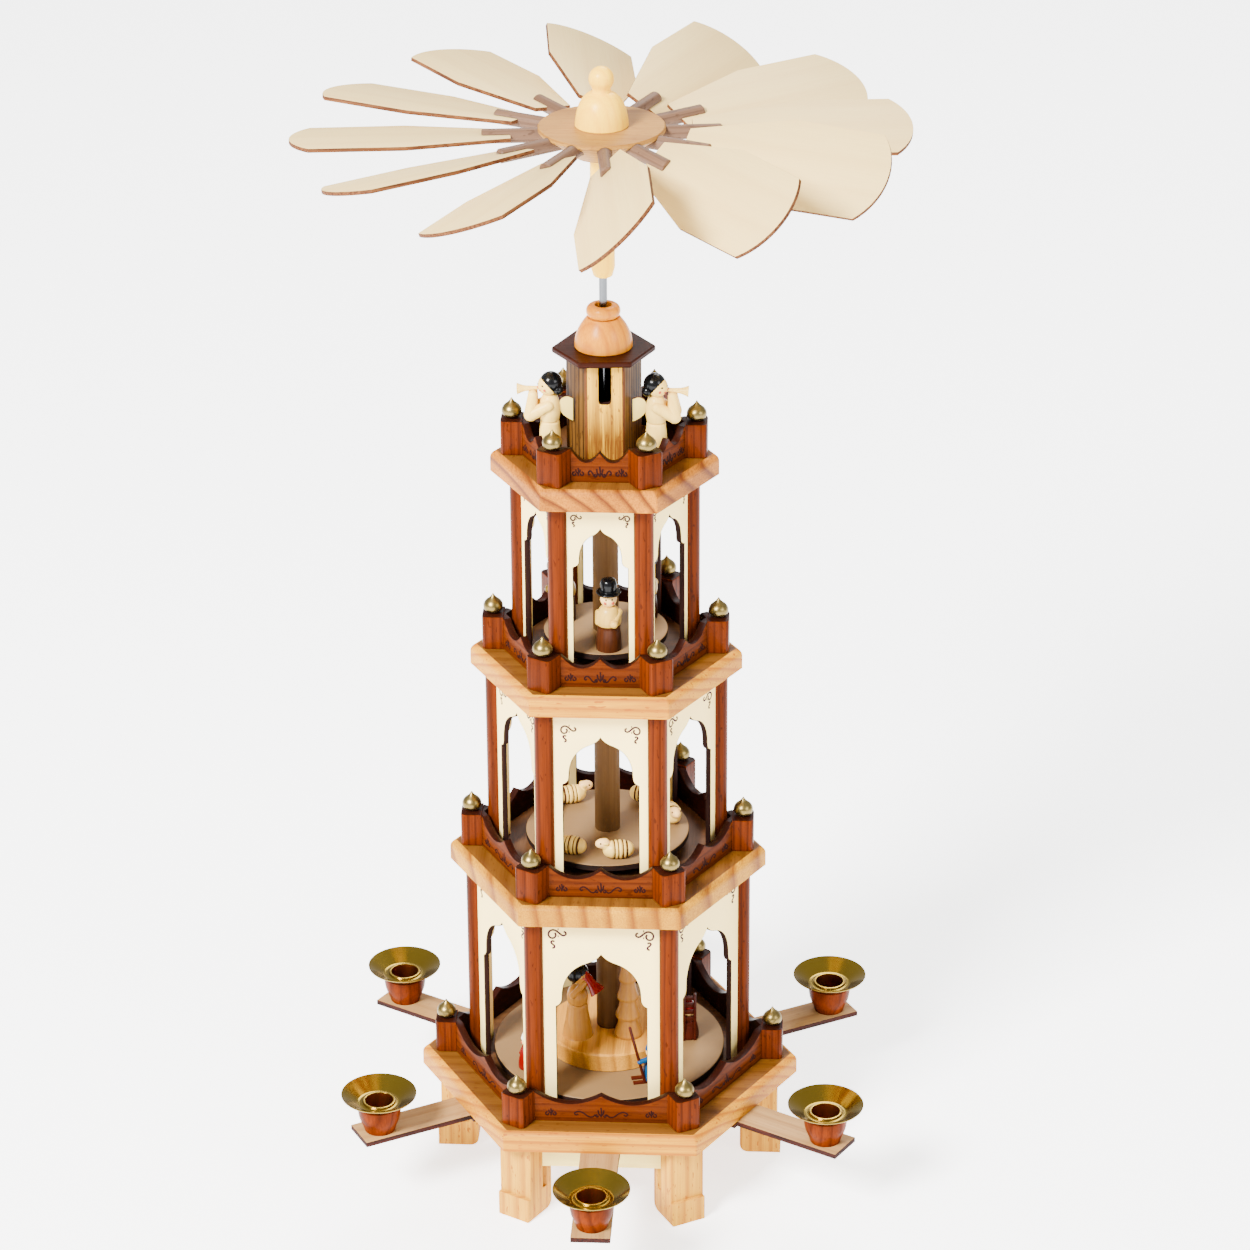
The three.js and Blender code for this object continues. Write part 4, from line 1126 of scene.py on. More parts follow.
class PYRAMID_OT_arcades(PyramidOperator, bpy.types.Operator):
    """Stained dowels with ivory ogee-arch panels let in between them"""

    bl_idname = "pyramid.arcades"
    bl_label = "Arcades"

    def model(self, context):
        for level in LEVELS[:3]:
            surround(level, self.dowel(level), "arcade", "dowels")
            surround(level, self.panel(level), "arcade", "panels")

    def dowel(self, level):
        """A straight dowel between floor and ceiling."""
        profile = [(0, 0), (DOWEL_RADIUS, 0), (DOWEL_RADIUS, level.height), (0, level.height)]
        return turn_to(wooden(turn_profile("dowel", profile), "stain"), move=(level.dowels, 0, 0))

    def arch(self, level, jamb):
        """The arch from its right foot over the tip to its left foot."""
        shoulder = jamb - SPRINGING_STEP
        tip = level.height - level.drop
        rise = level.rise
        spring = tip - rise
        ogee = 0.4 * shoulder
        half = [(jamb, 0), (jamb, spring)]
        half += bend([(jamb, spring), (shoulder, spring + 0.04 * rise), (shoulder, spring + 0.18 * rise)], 5)
        half += bend([
            (shoulder, spring + 0.18 * rise),
            (shoulder, tip - 0.49 * rise),
            (0.77 * shoulder, tip - 0.28 * rise),
            (ogee, tip - 0.18 * rise),
        ], 12)
        half += bend([(ogee, tip - 0.18 * rise), (0.3 * ogee, tip - 0.12 * rise), (0, tip)], 6)
        return half + [(-x, z) for x, z in reversed(half[:-1])]

    def panel(self, level):
        """A panel with its arch cut out, the cut's walls scorched and scrolls above it."""
        half = level.dowels / 2 - DOWEL_RADIUS / 2
        jamb = level.dowels / 2 - DOWEL_RADIUS - level.jamb
        arch = self.arch(level, jamb)
        outline = [(half, 0), (half, level.height), (-half, level.height), (-half, 0), *arch[::-1]]
        panel = cut_plate("panel", outline, PANEL_THICKNESS, 1.5 * sizes().ply_edge)
        two_tone(panel, "ivory", "burnt", lambda middle, normal: abs(normal.y) < 0.98
                 and abs(middle.x) < half - 0.5 and middle.z < level.height - 1, "Z", level.number)
        scale = FLOURISHES[level.number][2]
        width = sizes().stroke / MM * (0.4 + 0.6 * scale)
        whole = join("panel", [panel, strokes("scrolls", self.flourishes(level), width, "ornament")])
        return turn_to(whole, move=(0, -level.dowels * FLAT - PANEL_THICKNESS / 2, 0))

    def flourishes(self, level):
        """In each upper corner a long scroll with two dots and a small S beneath it."""
        inset, drop, scale = FLOURISHES[level.number]
        long_scroll = flow([
            (3.2, -1.7), (3.8, -2.8), (3.2, -4.3), (1.9, -4.8), (0.6, -4.2), (0, -2.5), (0.7, -0.8),
            (2.2, 0), (3.7, -0.3), (5.1, -1.4), (6.6, -2.8), (7.9, -3.2), (8.9, -2.4), (8.7, -1.3),
            (7.8, -0.9),
        ], 3)
        small = flow([
            (3.1, -6.9), (2.1, -6.4), (1.3, -7.1), (2, -8.2), (3, -9.2), (2.9, -10.2), (1.9, -10.5),
        ], 3)
        dots = [[(x - 0.3, z), (x, z), (x + 0.3, z)] for x, z in ((5, 0.4), (5, -3.7))]
        edge = level.dowels / 2 - DOWEL_RADIUS - inset
        paths = []
        for path in (long_scroll, small, *dots):
            placed = [(edge - x * scale, level.height - drop + z * scale) for x, z in path]
            paths.append(placed)
            paths.append([(-x, z) for x, z in placed])
        return paths


class PYRAMID_OT_candle_holders(PyramidOperator, bpy.types.Operator):
    """Plywood arms with stained cups and spun brass drip trays"""

    bl_idname = "pyramid.candle_holders"
    bl_label = "Candle holders"

    def model(self, context):
        ground = LEVELS[0]
        side = ground.radius * FLAT
        for number, (place, angle) in enumerate(PLACES.items()):
            low, high = node_box(f"drip_tray_{place}")
            reach = ((low + high) / 2).xy.length
            for piece, slot, node in (
                (self.arm(side, reach, f"arm_{place}", number), "plywood", "candle_arm"),
                (self.cup(f"cup_{place}", reach, number), "plywood", "candle_arm"),
                (self.tray(f"tray_{place}", reach), "brass", "drip_tray"),
            ):
                turn_to(piece, z=angle, move=(0, 0, ground.bottom))
                deliver(piece, "stand", f"{node}_{place}")

    def arm(self, side, reach, name, number):
        """An arm along +X and the strip under it that stops it at the rail."""
        half = ARM_WIDTH / 2
        strips = []
        start = side - RAIL_INSET
        for first, last, low, high in (
            (start - ARM_TAIL, reach + ARM_NOSE, -ARM_THICKNESS, 0),
            (start + GAP, start + GAP + STOP_LENGTH, -ARM_THICKNESS - STOP_THICKNESS, -ARM_THICKNESS),
        ):
            corners = [(first, -half, low), (last, -half, low), (last, half, low), (first, half, low)]
            strip = sweep_face(name, corners, (0, 0, high - low), sizes().ply_edge)
            strips.append(two_tone(strip, "ply", "arm_edge", lambda middle, normal: abs(normal.z) < 0.8,
                                   "X", number))
        return join(name, strips)

    def cup(self, name, reach, number):
        """A turned cup that flares towards its rim, bored for the tray's socket."""
        flare = flow([(8.0, 0.2), (8.6, 2.5), (10.5, 7.6), (11.4, 13.6)], 4)
        profile = [
            (0, -0.2), (7.7, -0.2), *flare, (11.5, 14.6), (11.2, 15.0), (8.7, 15.0), (8.3, 14.6),
            (8.2, 4.0), (0, 4.0),
        ]
        cup = turn_profile(name, profile)
        return turn_to(wooden(cup, "cup", "Z", number), move=(reach, 0, 0))

    def tray(self, name, reach):
        """A dish of sheet brass with a rolled rim, and a socket with a lip for the candle."""
        profile = [
            (0, 4.3), (7.3, 4.3), (7.85, 4.8), (7.85, 15.3), (11.0, 15.3), (11.6, 15.5), (19.0, 20.5),
            (19.4, 20.95), (19.45, 21.35), (19.2, 21.5), (18.8, 21.3), (11.5, 16.2), (11.0, 15.95),
            (9.0, 15.9), (8.55, 16.1), (8.45, 16.7), (8.2, 17.2), (7.9, 17.3), (7.4, 17.2), (7.25, 16.8),
            (7.25, 5.1), (6.9, 4.75), (0, 4.75),
        ]
        tray = coat(turn_profile(name, profile, 64, 40), "brass", "lip", "well")
        # Painted highlight on the socket's lip
        coat_faces(tray, 1, lambda middle, normal: 7.3 < middle.xy.length < 8.7 and middle.z > 15.8)
        # Painted shade: the socket's well gets the darker brass
        coat_faces(tray, 2, lambda middle, normal: middle.xy.length < 7.3 and middle.z < 17.0)
        return turn_to(grain(tray, "Z"), move=(reach, 0, 0))


class PYRAMID_OT_turret(PyramidOperator, bpy.types.Operator):
    """Slotted hexagonal turret with its dark roof, dome, guide bush and collar"""

    bl_idname = "pyramid.turret"
    bl_label = "Turret"

    def model(self, context):
        low, high = node_box("turret")
        turret = self.hexagon("turret_body", TURRET_RADIUS, low.z, high.z, TURRET_EDGE)
        drill(turret, TURRET_BORE, low.z - 1, high.z + 1)
        half = TURRET_SLOT_WIDTH / 2
        floor = high.z - TURRET_SLOT
        slot = box("slot", (-half, -30, floor), (half, 0, high.z + 2), TURRET_SLOT_ROUNDING * MM,
                   lambda middle, angle: middle.z / MM < floor + 0.1 and abs(middle.x) / MM > half - 0.1)
        coat(cut_away(turret, slot), "turret", "burnt", "turret_side", "corner")
        corner = TURRET_RADIUS * FLAT + 0.6
        # Painted shade: the faces that slant away to the sides get the darker copy of the turret's wood
        coat_faces(turret, 2, lambda middle, normal: abs(normal.x) > 0.6)
        coat_faces(turret, 3, lambda middle, normal: abs(normal.z) < 0.5 and middle.xy.length > corner)
        # Painted shade: the bore and the slot's walls get the dark scorched finish
        coat_faces(turret, 1, lambda middle, normal: middle.xy.length < TURRET_BORE + 0.2 or (
            abs(middle.x) < half + 0.1 and middle.z > floor - 0.1 and abs(normal.y) < 0.5))
        grain(turret, "Z")
        deliver(turn_to(turret, z=TURRET_TURN), "stand", "turret")
        low, high = node_box("roof_plate")
        roof = self.hexagon("roof_board", ROOF_RADIUS, low.z, high.z, ROOF_EDGE)
        wooden(drill(roof, BORE, low.z - 1, high.z + 1), "roof", "X")
        deliver(turn_to(roof, z=TURRET_TURN), "stand", "roof_plate")
        self.turned_top()

    def hexagon(self, name, radius, bottom, top, edge):
        """A hexagonal board or tube blank with all its edges eased."""
        points = [(x, y, bottom) for x, y in arc(radius, 0, 300, 5)]
        blank = sweep_face(name, points, (0, 0, top - bottom))
        edit(blank)
        select_edges(blank, lambda middle, angle: angle > 40)
        bpy.ops.mesh.bevel(offset=edge * MM, segments=3, affect="EDGES")
        return smooth(blank, 30)

    def turned_top(self):
        """The dome, the round collar above it and the brass bush in its bore."""
        radius, height = node_box("dome")[1].x, tall("dome")
        bow = bend([(radius, 0.5), (radius, 0.45 * height), (0.8 * radius, 0.75 * height),
                    (DOME_NECK, height)], 14)
        side = [(radius - 0.4, 0), (radius, 0.5), *bow, (DOME_BORE + 0.3, height)]
        profile = tube(DOME_BORE, side, height - 0.3)
        deliver_turned("dome", "dome_turned", profile, "turned", "stand")
        radius, height = node_box("collar_ring")[1].x, tall("collar_ring")
        bow = [(radius - 0.4 * height * (1 - out), height / 2 * (1 + up)) for out, up in arc(1, -90, 180, 10)]
        profile = tube(DOME_BORE, [*bow, (DOME_BORE + 0.2, height)], height - 0.3)
        deliver_turned("collar_ring", "collar_turned", profile, "turned", "stand")
        profile = tube(BUSH_BORE, [(3.6, 0), (3.85, 0.25), (3.85, 3.75), (3.6, 4), (2.5, 4)], 3.75)
        deliver_turned("guide_bush", "bush", profile, "brass", "stand")


class PYRAMID_OT_angels(PyramidOperator, bpy.types.Operator):
    """Two turned angels with trumpets on either side of the turret"""

    bl_idname = "pyramid.angels"
    bl_label = "Angels"

    def model(self, context):
        for place, side, facing in (("left", -1, 180), ("right", 1, 0)):
            node = f"angel_{place}"
            angel = christen(self.angel(-side), f"{node}_turned")
            turn_to(angel, z=facing, move=(side * ANGEL_ASIDE, -ANGEL_FORWARD, node_box(node)[0].z))
            deliver(angel, "stand", node)

    def angel(self, side):
        """An angel that faces +X, blows a long level trumpet and looks a little to one side."""
        parts = [
            lathe("skirt", [(0, 0), (1.9, 0), (3.1, 3.6), (4.5, 7.5), (5.2, 11), (5.25, 14), (4.9, 17.6),
                            (4.2, 20.4), (0, 20.6)], "figure"),
            lathe("torso", [(0, 20.2), (4.1, 20.4), (4.9, 22.4), (5.2, 25), (4.9, 29.5), (4.1, 32.6),
                            (2.4, 34.6), (0, 35)], "figure"),
            self.head(side),
            self.wing(),
        ]
        for arm in (-1, 1):
            shoulder, elbow, hand = (0.4, arm * 3.9, 29.4), (9.2, arm * 4.3, 24.8), (8.2, arm * 1.5, 34.3)
            parts.append(limb("sleeve", shoulder, elbow, 2.8, 3.3, "figure"))
            parts.append(limb("forearm", elbow, hand, 3.3, 2.4, "figure"))
        profile = [(0, 0), (0.9, 0), (1.1, 3), (1.4, 7), (1.7, 8.4), (2.2, 9.8), (2.7, 11), (2.8, 11.4),
                   (2.4, 11.3), (1.4, 9.6), (0, 9)]
        trumpet = lay(turn_profile("trumpet", profile, 24), (4.6, 0, 37.5), (16, 0, 36.8))
        return join("angel", [*parts, wooden(trumpet, "figure")])

    def head(self, side):
        """A head with short black hair and a bun, turned to the onlooker's side."""
        parts = [
            ball("face", 5.2, (0.4, 0, 0), "figure"),
            ball("hair", 5.6, (-0.9, 0.5 * side, 1.2), "black"),
            ball("bun", 2.7, (-2.4, 4.2 * side, -1.9), "black"),
            ball("lips", 0.6, (5.4, 0, -1.9), "cheek", (0.5, 1.3, 0.6)),
        ]
        for eye in (-1, 1):
            parts.append(ball("eye", 0.6, (5.1, eye * 1.8, 0.9), "black", (0.5, 1.3, 0.7)))
            parts.append(ball("cheek", 0.9, (4.6, eye * 2.8, -1.2), "cheek", (0.5, 1, 0.8)))
        return turn_to(join("head", parts), z=ANGEL_GLANCE * side, move=(0.3, 0, 39.2))

    def wing(self):
        """A half-round wing in the plane the angel faces in, its straight edge at the back."""
        outline = [
            (-11.6, 20.5), *bend([(-11.6, 20.5), (-5.4, 23), (-4.4, 28)], 8),
            *bend([(-4.4, 28), (-4.8, 33.5), (-9, 33.4)], 8), (-11.6, 32.4),
        ]
        wing = cut_plate("wing", outline, ANGEL_WING, 0.15 * MM)
        turn_to(wing, move=(0, -ANGEL_WING / 2, 0))
        return two_tone(wing, "wing", "blade_edge", lambda middle, normal: abs(normal.y) < 0.7)


class PYRAMID_OT_turntables(PyramidOperator, bpy.types.Operator):
    """Painted turntables, the step disc and the spindles on the steel shaft"""

    bl_idname = "pyramid.turntables"
    bl_label = "Turntables"

    def model(self, context):
        for number, top in TURNTABLE_TOPS.items():
            node = f"turntable_{number}"
            radius = node_box(node)[1].x
            under = top - DISC_THICKNESS
            inside = [(ROTOR_BORE, under)]
            if number > 1:
                foot = LEVELS[number - 1].top + 1
                inside = [(ROTOR_BORE, foot), (SPINDLE_RADIUS - 0.3, foot), (SPINDLE_RADIUS, foot + 0.3),
                          (SPINDLE_RADIUS, under)]
            profile = [*inside, (radius - 0.3, under), (radius, under + 0.3), (radius, top - 0.3),
                       (radius - 0.3, top), (ROTOR_BORE, top), inside[0]]
            disc = turn_profile(f"{node}_disc", profile, 96, 30)
            # Scorched rim, and painted shade on the underside
            two_tone(disc, "greige", "edge", lambda middle, normal: normal.z < 0.5, "X", number)
            deliver(disc, "rotor", node)
            node = f"spindle_{number}"
            height = tall(node)
            side = [(SPINDLE_RADIUS - 0.2, 0), (SPINDLE_RADIUS, 0.3), (SPINDLE_RADIUS, height - 0.3),
                    (SPINDLE_RADIUS - 0.2, height)]
            profile = tube(ROTOR_BORE, side, height)
            # The spindle's dark brown is partly painted shade
            deliver_turned(node, f"{node}_turned", profile, "spindle", "rotor")
        height = tall("step_disc")
        side = [(STEP_RADIUS - 0.6, 0), (STEP_RADIUS, 0.5), (STEP_RADIUS, height - 1),
                (STEP_RADIUS - 0.8, height)]
        profile = tube(ROTOR_BORE, side, height)
        deliver_turned("step_disc", "step_turned", profile, "pine_step", "rotor", 80, along="Y")
        length = tall("shaft")
        profile = [(0, 0), (1.8, 2.9), (2, 3.2), (2, length - 0.3), (1.7, length), (0, length)]
        deliver_turned("shaft", "shaft_rod", profile, "steel", "rotor", 32)
        profile = [(0, 0), (5.7, 0), (6, 0.3), (6, 5.9), (5.7, 6.2), (2.9, 6.2), (2.6, 5.9), (2.6, 4.5),
                   (0, 1.6)]
        deliver_turned("bearing_cup", "cup", profile, "brass", "stand", 40)


class PYRAMID_OT_figures(PyramidOperator, bpy.types.Operator):
    """Doll, tree and children below, a flock of sheep and three men above"""

    bl_idname = "pyramid.figures"
    bl_label = "Figures"

    def model(self, context):
        figures = (
            (self.doll(), "doll", 19.75, -143, -25, "figure_wood"),
            (self.tree(), "tree", 15, -45, -45, "figure_wood"),
            (self.child("red", "white"), "child", 50.05, -144, -144, "red_paint"),
            (self.skier(), "skier", 46.2, -57.5, 15, "blue_paint"),
            (self.sledge_child(), "sledge_child", 42.1, 8, 8, "brown_paint"),
        )
        for piece, node, radius, angle, facing, slot in figures:
            stand_at(christen(piece, f"{node}_turned"), radius, angle, node_box(node)[0].z, facing)
            deliver(piece, "rotor", node)
        places = ((-77, 190), (-120, 165), (128, 20), (58, -15), (168, 75), (15, -70))
        self.group(self.sheep(), "sheep", places, SHEEP_RING, 2)
        places = ((-83, -83), (37, 37), (157, 157))
        self.group(self.man(), "men", places, MEN_RING, 3)

    def group(self, model, name, places, radius, turntable):
        """Copies of one figure on a turntable, at angles in degrees and facing others."""
        copies = []
        for number, (angle, facing) in enumerate(places):
            copy = copy_of(model, name, number + 1.0)
            copies.append(stand_at(copy, radius, angle, TURNTABLE_TOPS[turntable], facing))
        discard(model)
        deliver(join(name, copies), "rotor", f"turntable_{turntable}")

    def man(self):
        """A man in a bowler with one round hand in front."""
        return join("man", [
            lathe("coat", [(0, 0), (5.6, 0), (6.4, 0.4), (6.3, 6), (5.7, 12), (5.5, 13.2), (0, 13.4)],
                  "coat"),
            lathe("torso", [(0, 13.2), (5.2, 13.3), (6.2, 14.6), (6.3, 17.5), (5.2, 21), (3.4, 23.2),
                            (0, 23.6)], "cream"),
            ball("head", 4.2, (0, 0, 27.2), "face"),
            lathe("brim", [(0, 30.2), (5.2, 30.2), (6.1, 30.7), (6.1, 31.4), (4.4, 31.5), (4.1, 32.2),
                           (4.3, 35.2), (3.4, 37.6), (1.6, 38.4), (0, 38.5)], "black"),
            limb("arm", (0.4, 5.2, 20), (6.0, 2.8, 16.6), 1.7, 1.5, "cream"),
            limb("other_arm", (0.4, -5.2, 20), (1.6, -5.6, 15), 1.6, 1.4, "cream"),
            ball("hand", 2.1, (7.0, 2.3, 16.2), "cream"),
            *self.features(4.2, 27.2),
        ])

    def features(self, radius, height):
        """Two dark eyes and two rosy cheeks on a head that faces +X."""
        parts = []
        for side in (-1, 1):
            eye = (0.9 * radius, 0.36 * side * radius, height + 0.22 * radius)
            cheek = (0.83 * radius, 0.44 * side * radius, height - 0.22 * radius)
            parts.append(ball("eye", 0.11 * radius, eye, "black"))
            parts.append(ball("cheek", 0.19 * radius, cheek, "cheek"))
        return parts

    def sheep(self):
        """A lying sheep with ring grooves turned into its body."""
        profile = []
        for step in range(41):
            share = step / 40
            x = 8 * math.cos(math.pi * (1 - share))
            radius = 5 * math.sin(math.pi * share) ** 0.8
            for groove in SHEEP_GROOVES:
                radius -= 0.55 * math.exp(-((x - groove) / 0.42) ** 2)
            profile.append((max(0, radius), x))
        body = lay(turn_profile("body", profile, 32, 60), (0, 0, 0), (1, 0, 0))
        turn_to(body, move=(0, 0, 4.6))
        two_tone(body, "figure", "groove", lambda middle, normal: any(
            abs(middle.x - groove) < 0.3 for groove in SHEEP_GROOVES), "X")
        parts = [body, ball("head", 2.9, (8.0, 0, 8.4), "face", (1.35, 0.85, 0.95)),
                 limb("neck", (5.2, 0, 5.6), (7.4, 0, 8.2), 2.8, 2.4, "figure")]
        for side in (-1, 1):
            parts.append(ball("eye", 0.5, (9.3, side * 2.0, 9.3), "black"))
            parts.append(ball("ear", 1.0, (6.6, side * 2.6, 9.2), "figure", (1.4, 0.5, 0.8)))
        return join("sheep", parts)

    def doll(self):
        """A doll in a long skirt who blows a thick red horn."""
        parts = [
            lathe("skirt", [(0, 0), (7.5, 0), (7.9, 0.8), (7.6, 3.2), (6.6, 8.5), (5.6, 14.5), (4.7, 19.3),
                            (0, 19.5)], "tan", 36),
            lathe("torso", [(0, 19.1), (4.7, 19.3), (5.4, 21.5), (5.5, 24), (4.8, 26.6), (3.4, 28.6),
                            (0, 29.4)], "tan"),
            ball("face", 5.2, (1.1, 0, 36.2), "tan"),
            ball("hair", 5.9, (0, 0, 37.1), "black"),
        ]
        for side in (-1, 1):
            parts.append(limb("arm", (0, side * 4.7, 25.4), (5.4, side * 1.5, 33.2), 1.9, 1.6, "tan"))
        parts += self.features(5.6, 37.2)
        profile = [(0, 0), (1.9, 0), (2.2, 2), (2.4, 6), (2.7, 8.6), (3.4, 10.8), (4.2, 12.8), (4.3, 13.3),
                   (3.9, 13.3), (2.6, 10.4), (0, 9.4)]
        horn = lay(turn_profile("horn", profile, 28), (3.4, 0, 38.4), (12.4, 0, 28.4))
        return join("doll", [*parts, wooden(horn, "red")])

    def tree(self):
        """A turned tree with four flared tiers."""
        tiers, radius, height = 4, 7.5, 47
        step = height / (tiers + 0.35)
        shares = ((0.94, 0), (1, 0.08), (0.98, 0.18), (0.82, 0.45), (0.72, 0.72), (0.64, 0.97))
        profile = [(0, 0)]
        for tier in range(tiers):
            width = radius * (1 - 0.12 * tier)
            profile += [(out * width, (tier + up) * step) for out, up in shares]
        profile += [(0.9, height - 0.6), (0, height)]
        return wooden(turn_profile("tree", profile, 40, 40), "tan")

    def child(self, dress, cap):
        """A child in a coat and a pointed cap."""
        parts = [
            lathe("coat", [(0, 0), (4.6, 0), (5.4, 1.6), (4.9, 6), (3.2, 12.2), (2.6, 13.2), (0, 13.4)],
                  dress),
            ball("head", 3.5, (0, 0, 15.8), "face"),
            lathe("cap", [(0, 17.2), (3.4, 17.2), (3.6, 18.2), (2.4, 21), (0.9, 23.6), (0, 24)], cap),
        ]
        for side in (-1, 1):
            parts.append(limb("arm", (0.2, side * 3.0, 11.4), (2.4, side * 3.4, 7.6), 1.3, 1.1, dress))
        return join("child", parts + self.features(3.5, 15.8))

    def skier(self):
        """A child on two skis who leans on a stick."""
        parts = [turn_to(self.child("blue", "blue"), move=(0, 0, 1))]
        for side in (-1, 1):
            y = side * 2.4
            ski = box("ski", (-10.8, y - 1.2, 0), (12.8, y + 1.2, 1.2), 0.25 * MM)
            parts.append(wooden(ski, "brown", "X"))
        parts.append(limb("sleeve", (0, -2, 14), (-7.4, -2.8, 13), 1.6, 1.3, "blue"))
        parts.append(limb("stick", (-4.8, -3.2, 1.2), (-12.3, -2, 33.6), 0.8, 0.8, "brown"))
        return join("skier", parts)

    def sledge_child(self):
        """A child with a sledge stood up beside it: a slatted seat between two runners."""
        parts = [self.child("brown", "red")]
        for side in (-1, 1):
            x = side * 2.9
            runner = box("runner", (x - 0.7, -5.3, 0), (x + 0.7, -2.9, 28), 0.3 * MM)
            parts.append(wooden(runner, "brown"))
        for number in range(6):
            z = 4.2 * number
            slat = box("slat", (-3.6, -4.3, 3 + z), (3.6, -3.4, 5.6 + z), 0.25 * MM)
            parts.append(wooden(slat, "brown", "X"))
        return join("sledge_child", parts)


class PYRAMID_OT_wing_wheel(PyramidOperator, bpy.types.Operator):
    """Bored hub, knob, sleeve and the twelve pitched paddles"""

    bl_idname = "pyramid.wing_wheel"
    bl_label = "Wing wheel"

    def model(self, context):
        joints = [joint for joint in frame["joints"] if joint["name"].startswith("wing_pitch")]
        azimuths = [math.degrees(math.atan2(joint["axis"][1], joint["axis"][0])) for joint in joints]
        self.hub(azimuths)
        peg, blade = self.peg(), self.blade()
        height = node_box("wing_hub")[1].z - PEG_DROP
        for number, (joint, azimuth) in enumerate(zip(joints, azimuths), 1):
            pitch = -joint["range_deg"][0]
            for model, kind, slot in ((peg, "peg", "plywood"), (blade, "blade", "blade_plywood")):
                piece = copy_of(model, f"{kind}_{number:02d}", 2.0 * number)
                turn_to(piece, x=pitch, z=azimuth, move=(0, 0, height))
                deliver(piece, joint["child"], f"paddle_{number:02d}")
        discard(peg, blade)

    def hub(self, azimuths):
        """The hub with its seats for the pegs, the knob on top and the sleeve below."""
        low, high = node_box("wing_hub")
        radius = high.x
        height = high.z - low.z
        profile = [
            (ROTOR_BORE, 0), (13.6, 0), (14.2, 0.2), (radius - 0.3, height - 2.2), (radius, height - 1.8),
            (radius, height - 0.7), (radius - 0.7, height), (0, height), (0, height - 7),
            (ROTOR_BORE, height - 7), (ROTOR_BORE, 0),
        ]
        hub = raise_to(turn_profile("hub", profile, 96), low.z)
        rods = []
        for azimuth in azimuths:
            rest_hands()
            bpy.ops.mesh.primitive_cylinder_add(
                vertices=24, radius=PEG_SEAT_RADIUS * MM, depth=PEG_SEAT_DEPTH * MM,
                rotation=(0, math.pi / 2, 0), location=(PEG_SEAT_MIDDLE * MM, 0, 0),
            )
            rod = settle(bpy.context.object)
            rods.append(turn_to(rod, z=azimuth, move=(0, 0, high.z - PEG_DROP)))
        hub = cut_away(hub, join("rods", rods))
        deliver(wooden(hub, "hub", "X"), "rotor", "wing_hub")
        bell = bend([(13, 0.4), (12.4, 8.4), (10.4, 15), (4.7, 16.9)], 14)
        top = arc(6.2, -32.83, 111.7, 10, (0, 23.3))
        profile = [(0, 0), (12.6, 0), (13, 0.4), *bell, (4.5, 17.6), (4.6, 18.6), *top, (0, 29.5)]
        deliver_turned("hub_knob", "knob", profile, "turned_pale", "rotor", 56, 40)
        height = tall("hub_sleeve")
        profile = tube(ROTOR_BORE, [(4.4, 0), (4.8, 0.4), (5.95, 4.8), (5.95, height)], height)
        deliver_turned("hub_sleeve", "sleeve", profile, "turned_pale", "rotor", 40)

    def peg(self):
        """A round peg along +X, slotted at its outer end for the blade."""
        profile = [(0, 0), (PEG_RADIUS - 0.4, 0), (PEG_RADIUS, 0.4), (PEG_RADIUS, PEG_LENGTH - 0.6),
                   (PEG_RADIUS - 0.6, PEG_LENGTH), (0, PEG_LENGTH)]
        peg = lay(turn_profile("peg", profile, 32), (0, 0, 0), (1, 0, 0))
        turn_to(peg, move=(PEG_ROOT, 0, 0))
        end = PEG_ROOT + PEG_LENGTH
        gap = BLADE_THICKNESS / 2 + GAP
        slot = box("slot", (end - PEG_SLOT + 0.5, -6, -gap), (end + 2, 6, gap), SHARP_EDGE)
        return wooden(cut_away(peg, slot), "peg", "X")

    def blade(self):
        """A thin blade that widens to a shoulder and ends in an arc, its edges scorched."""
        root = PEG_ROOT + PEG_LENGTH - PEG_SLOT
        reach, half = BLADE_OUTLINE[-1]
        bulge = BLADE_LENGTH - reach
        radius = (half ** 2 + bulge ** 2) / (2 * bulge)
        spread = math.degrees(math.asin(half / radius))
        tip = arc(radius, -0.875 * spread, 1.75 * spread, 14, (BLADE_LENGTH - radius, 0))
        right = [(x, -y) for x, y in BLADE_OUTLINE]
        points = [(root + x, y, -BLADE_THICKNESS / 2) for x, y in (*right, *tip, *BLADE_OUTLINE[::-1])]
        blade = sweep_face("blade", points, (0, 0, BLADE_THICKNESS), sizes().ply_edge)
        return two_tone(blade, "blade", "blade_edge", lambda middle, normal: abs(normal.z) < 0.8, "X")


class PYRAMID_PT_sidebar(bpy.types.Panel):
    """The pyramid's colours, sizes and pieces in the 3D view's sidebar"""

    bl_label = "Pyramid"
    bl_space_type = "VIEW_3D"
    bl_region_type = "UI"
    bl_category = "Pyramid"

    def draw(self, context):
        for settings in (context.scene.pyramid_sizes, context.scene.pyramid_colours):
            group = self.layout.box()
            for name in settings.bl_rna.properties.keys():
                if name not in ("name", "rna_type"):
                    group.prop(settings, name)
        pieces = self.layout.column(align=True)
        for item in OPERATORS:
            pieces.operator(item.bl_idname)


OPERATORS = [
    PYRAMID_OT_stage,
    PYRAMID_OT_base,
    PYRAMID_OT_platforms,
    PYRAMID_OT_galleries,
    PYRAMID_OT_arcades,
    PYRAMID_OT_candle_holders,
    PYRAMID_OT_turret,
    PYRAMID_OT_angels,
    PYRAMID_OT_turntables,
    PYRAMID_OT_figures,
    PYRAMID_OT_wing_wheel,
]
CLASSES = [PyramidColours, PyramidSizes, *OPERATORS, PYRAMID_PT_sidebar]


def register():
    """Registers the classes and hangs the settings on the scene."""
    for item in CLASSES:
        bpy.utils.register_class(item)
    bpy.types.Scene.pyramid_colours = PointerProperty(type=PyramidColours)
    bpy.types.Scene.pyramid_sizes = PointerProperty(type=PyramidSizes)


def unregister():
    """Takes the settings and the classes away again."""
    del bpy.types.Scene.pyramid_sizes
    del bpy.types.Scene.pyramid_colours
    for item in reversed(CLASSES):
        bpy.utils.unregister_class(item)


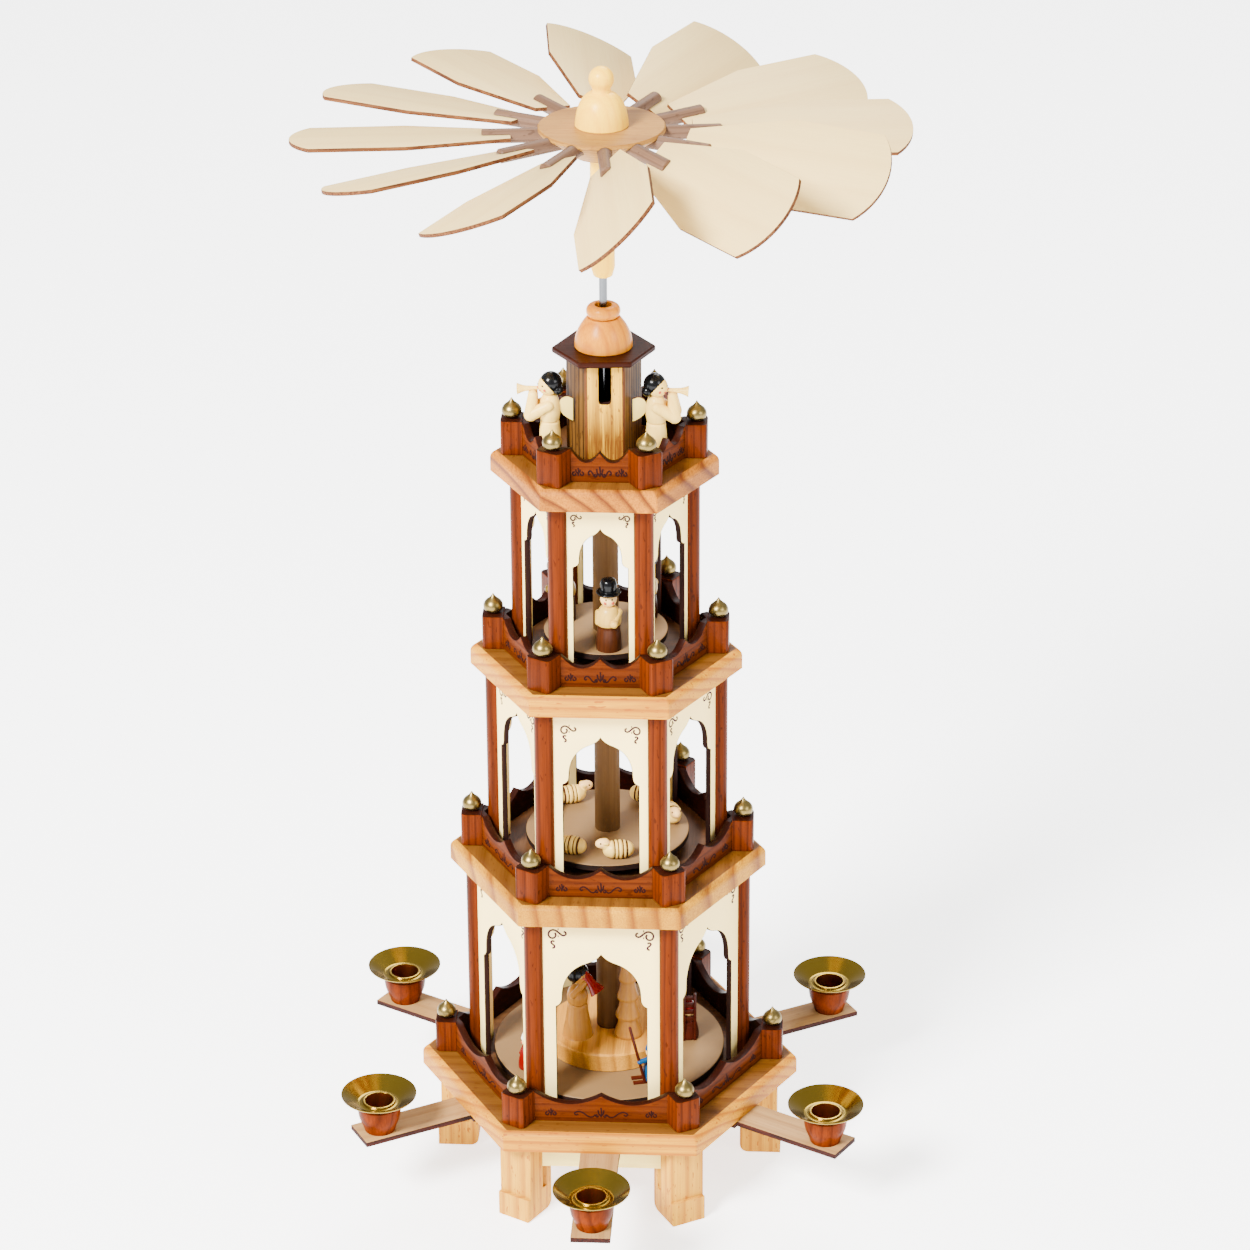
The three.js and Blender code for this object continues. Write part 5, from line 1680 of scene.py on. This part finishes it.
def main():
    """Models the pyramid."""
    register()
    make_finishes()
    for item in OPERATORS:
        getattr(bpy.ops.pyramid, item.bl_idname.split(".")[1])()
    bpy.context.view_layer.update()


if __name__ == "__main__":
    main()
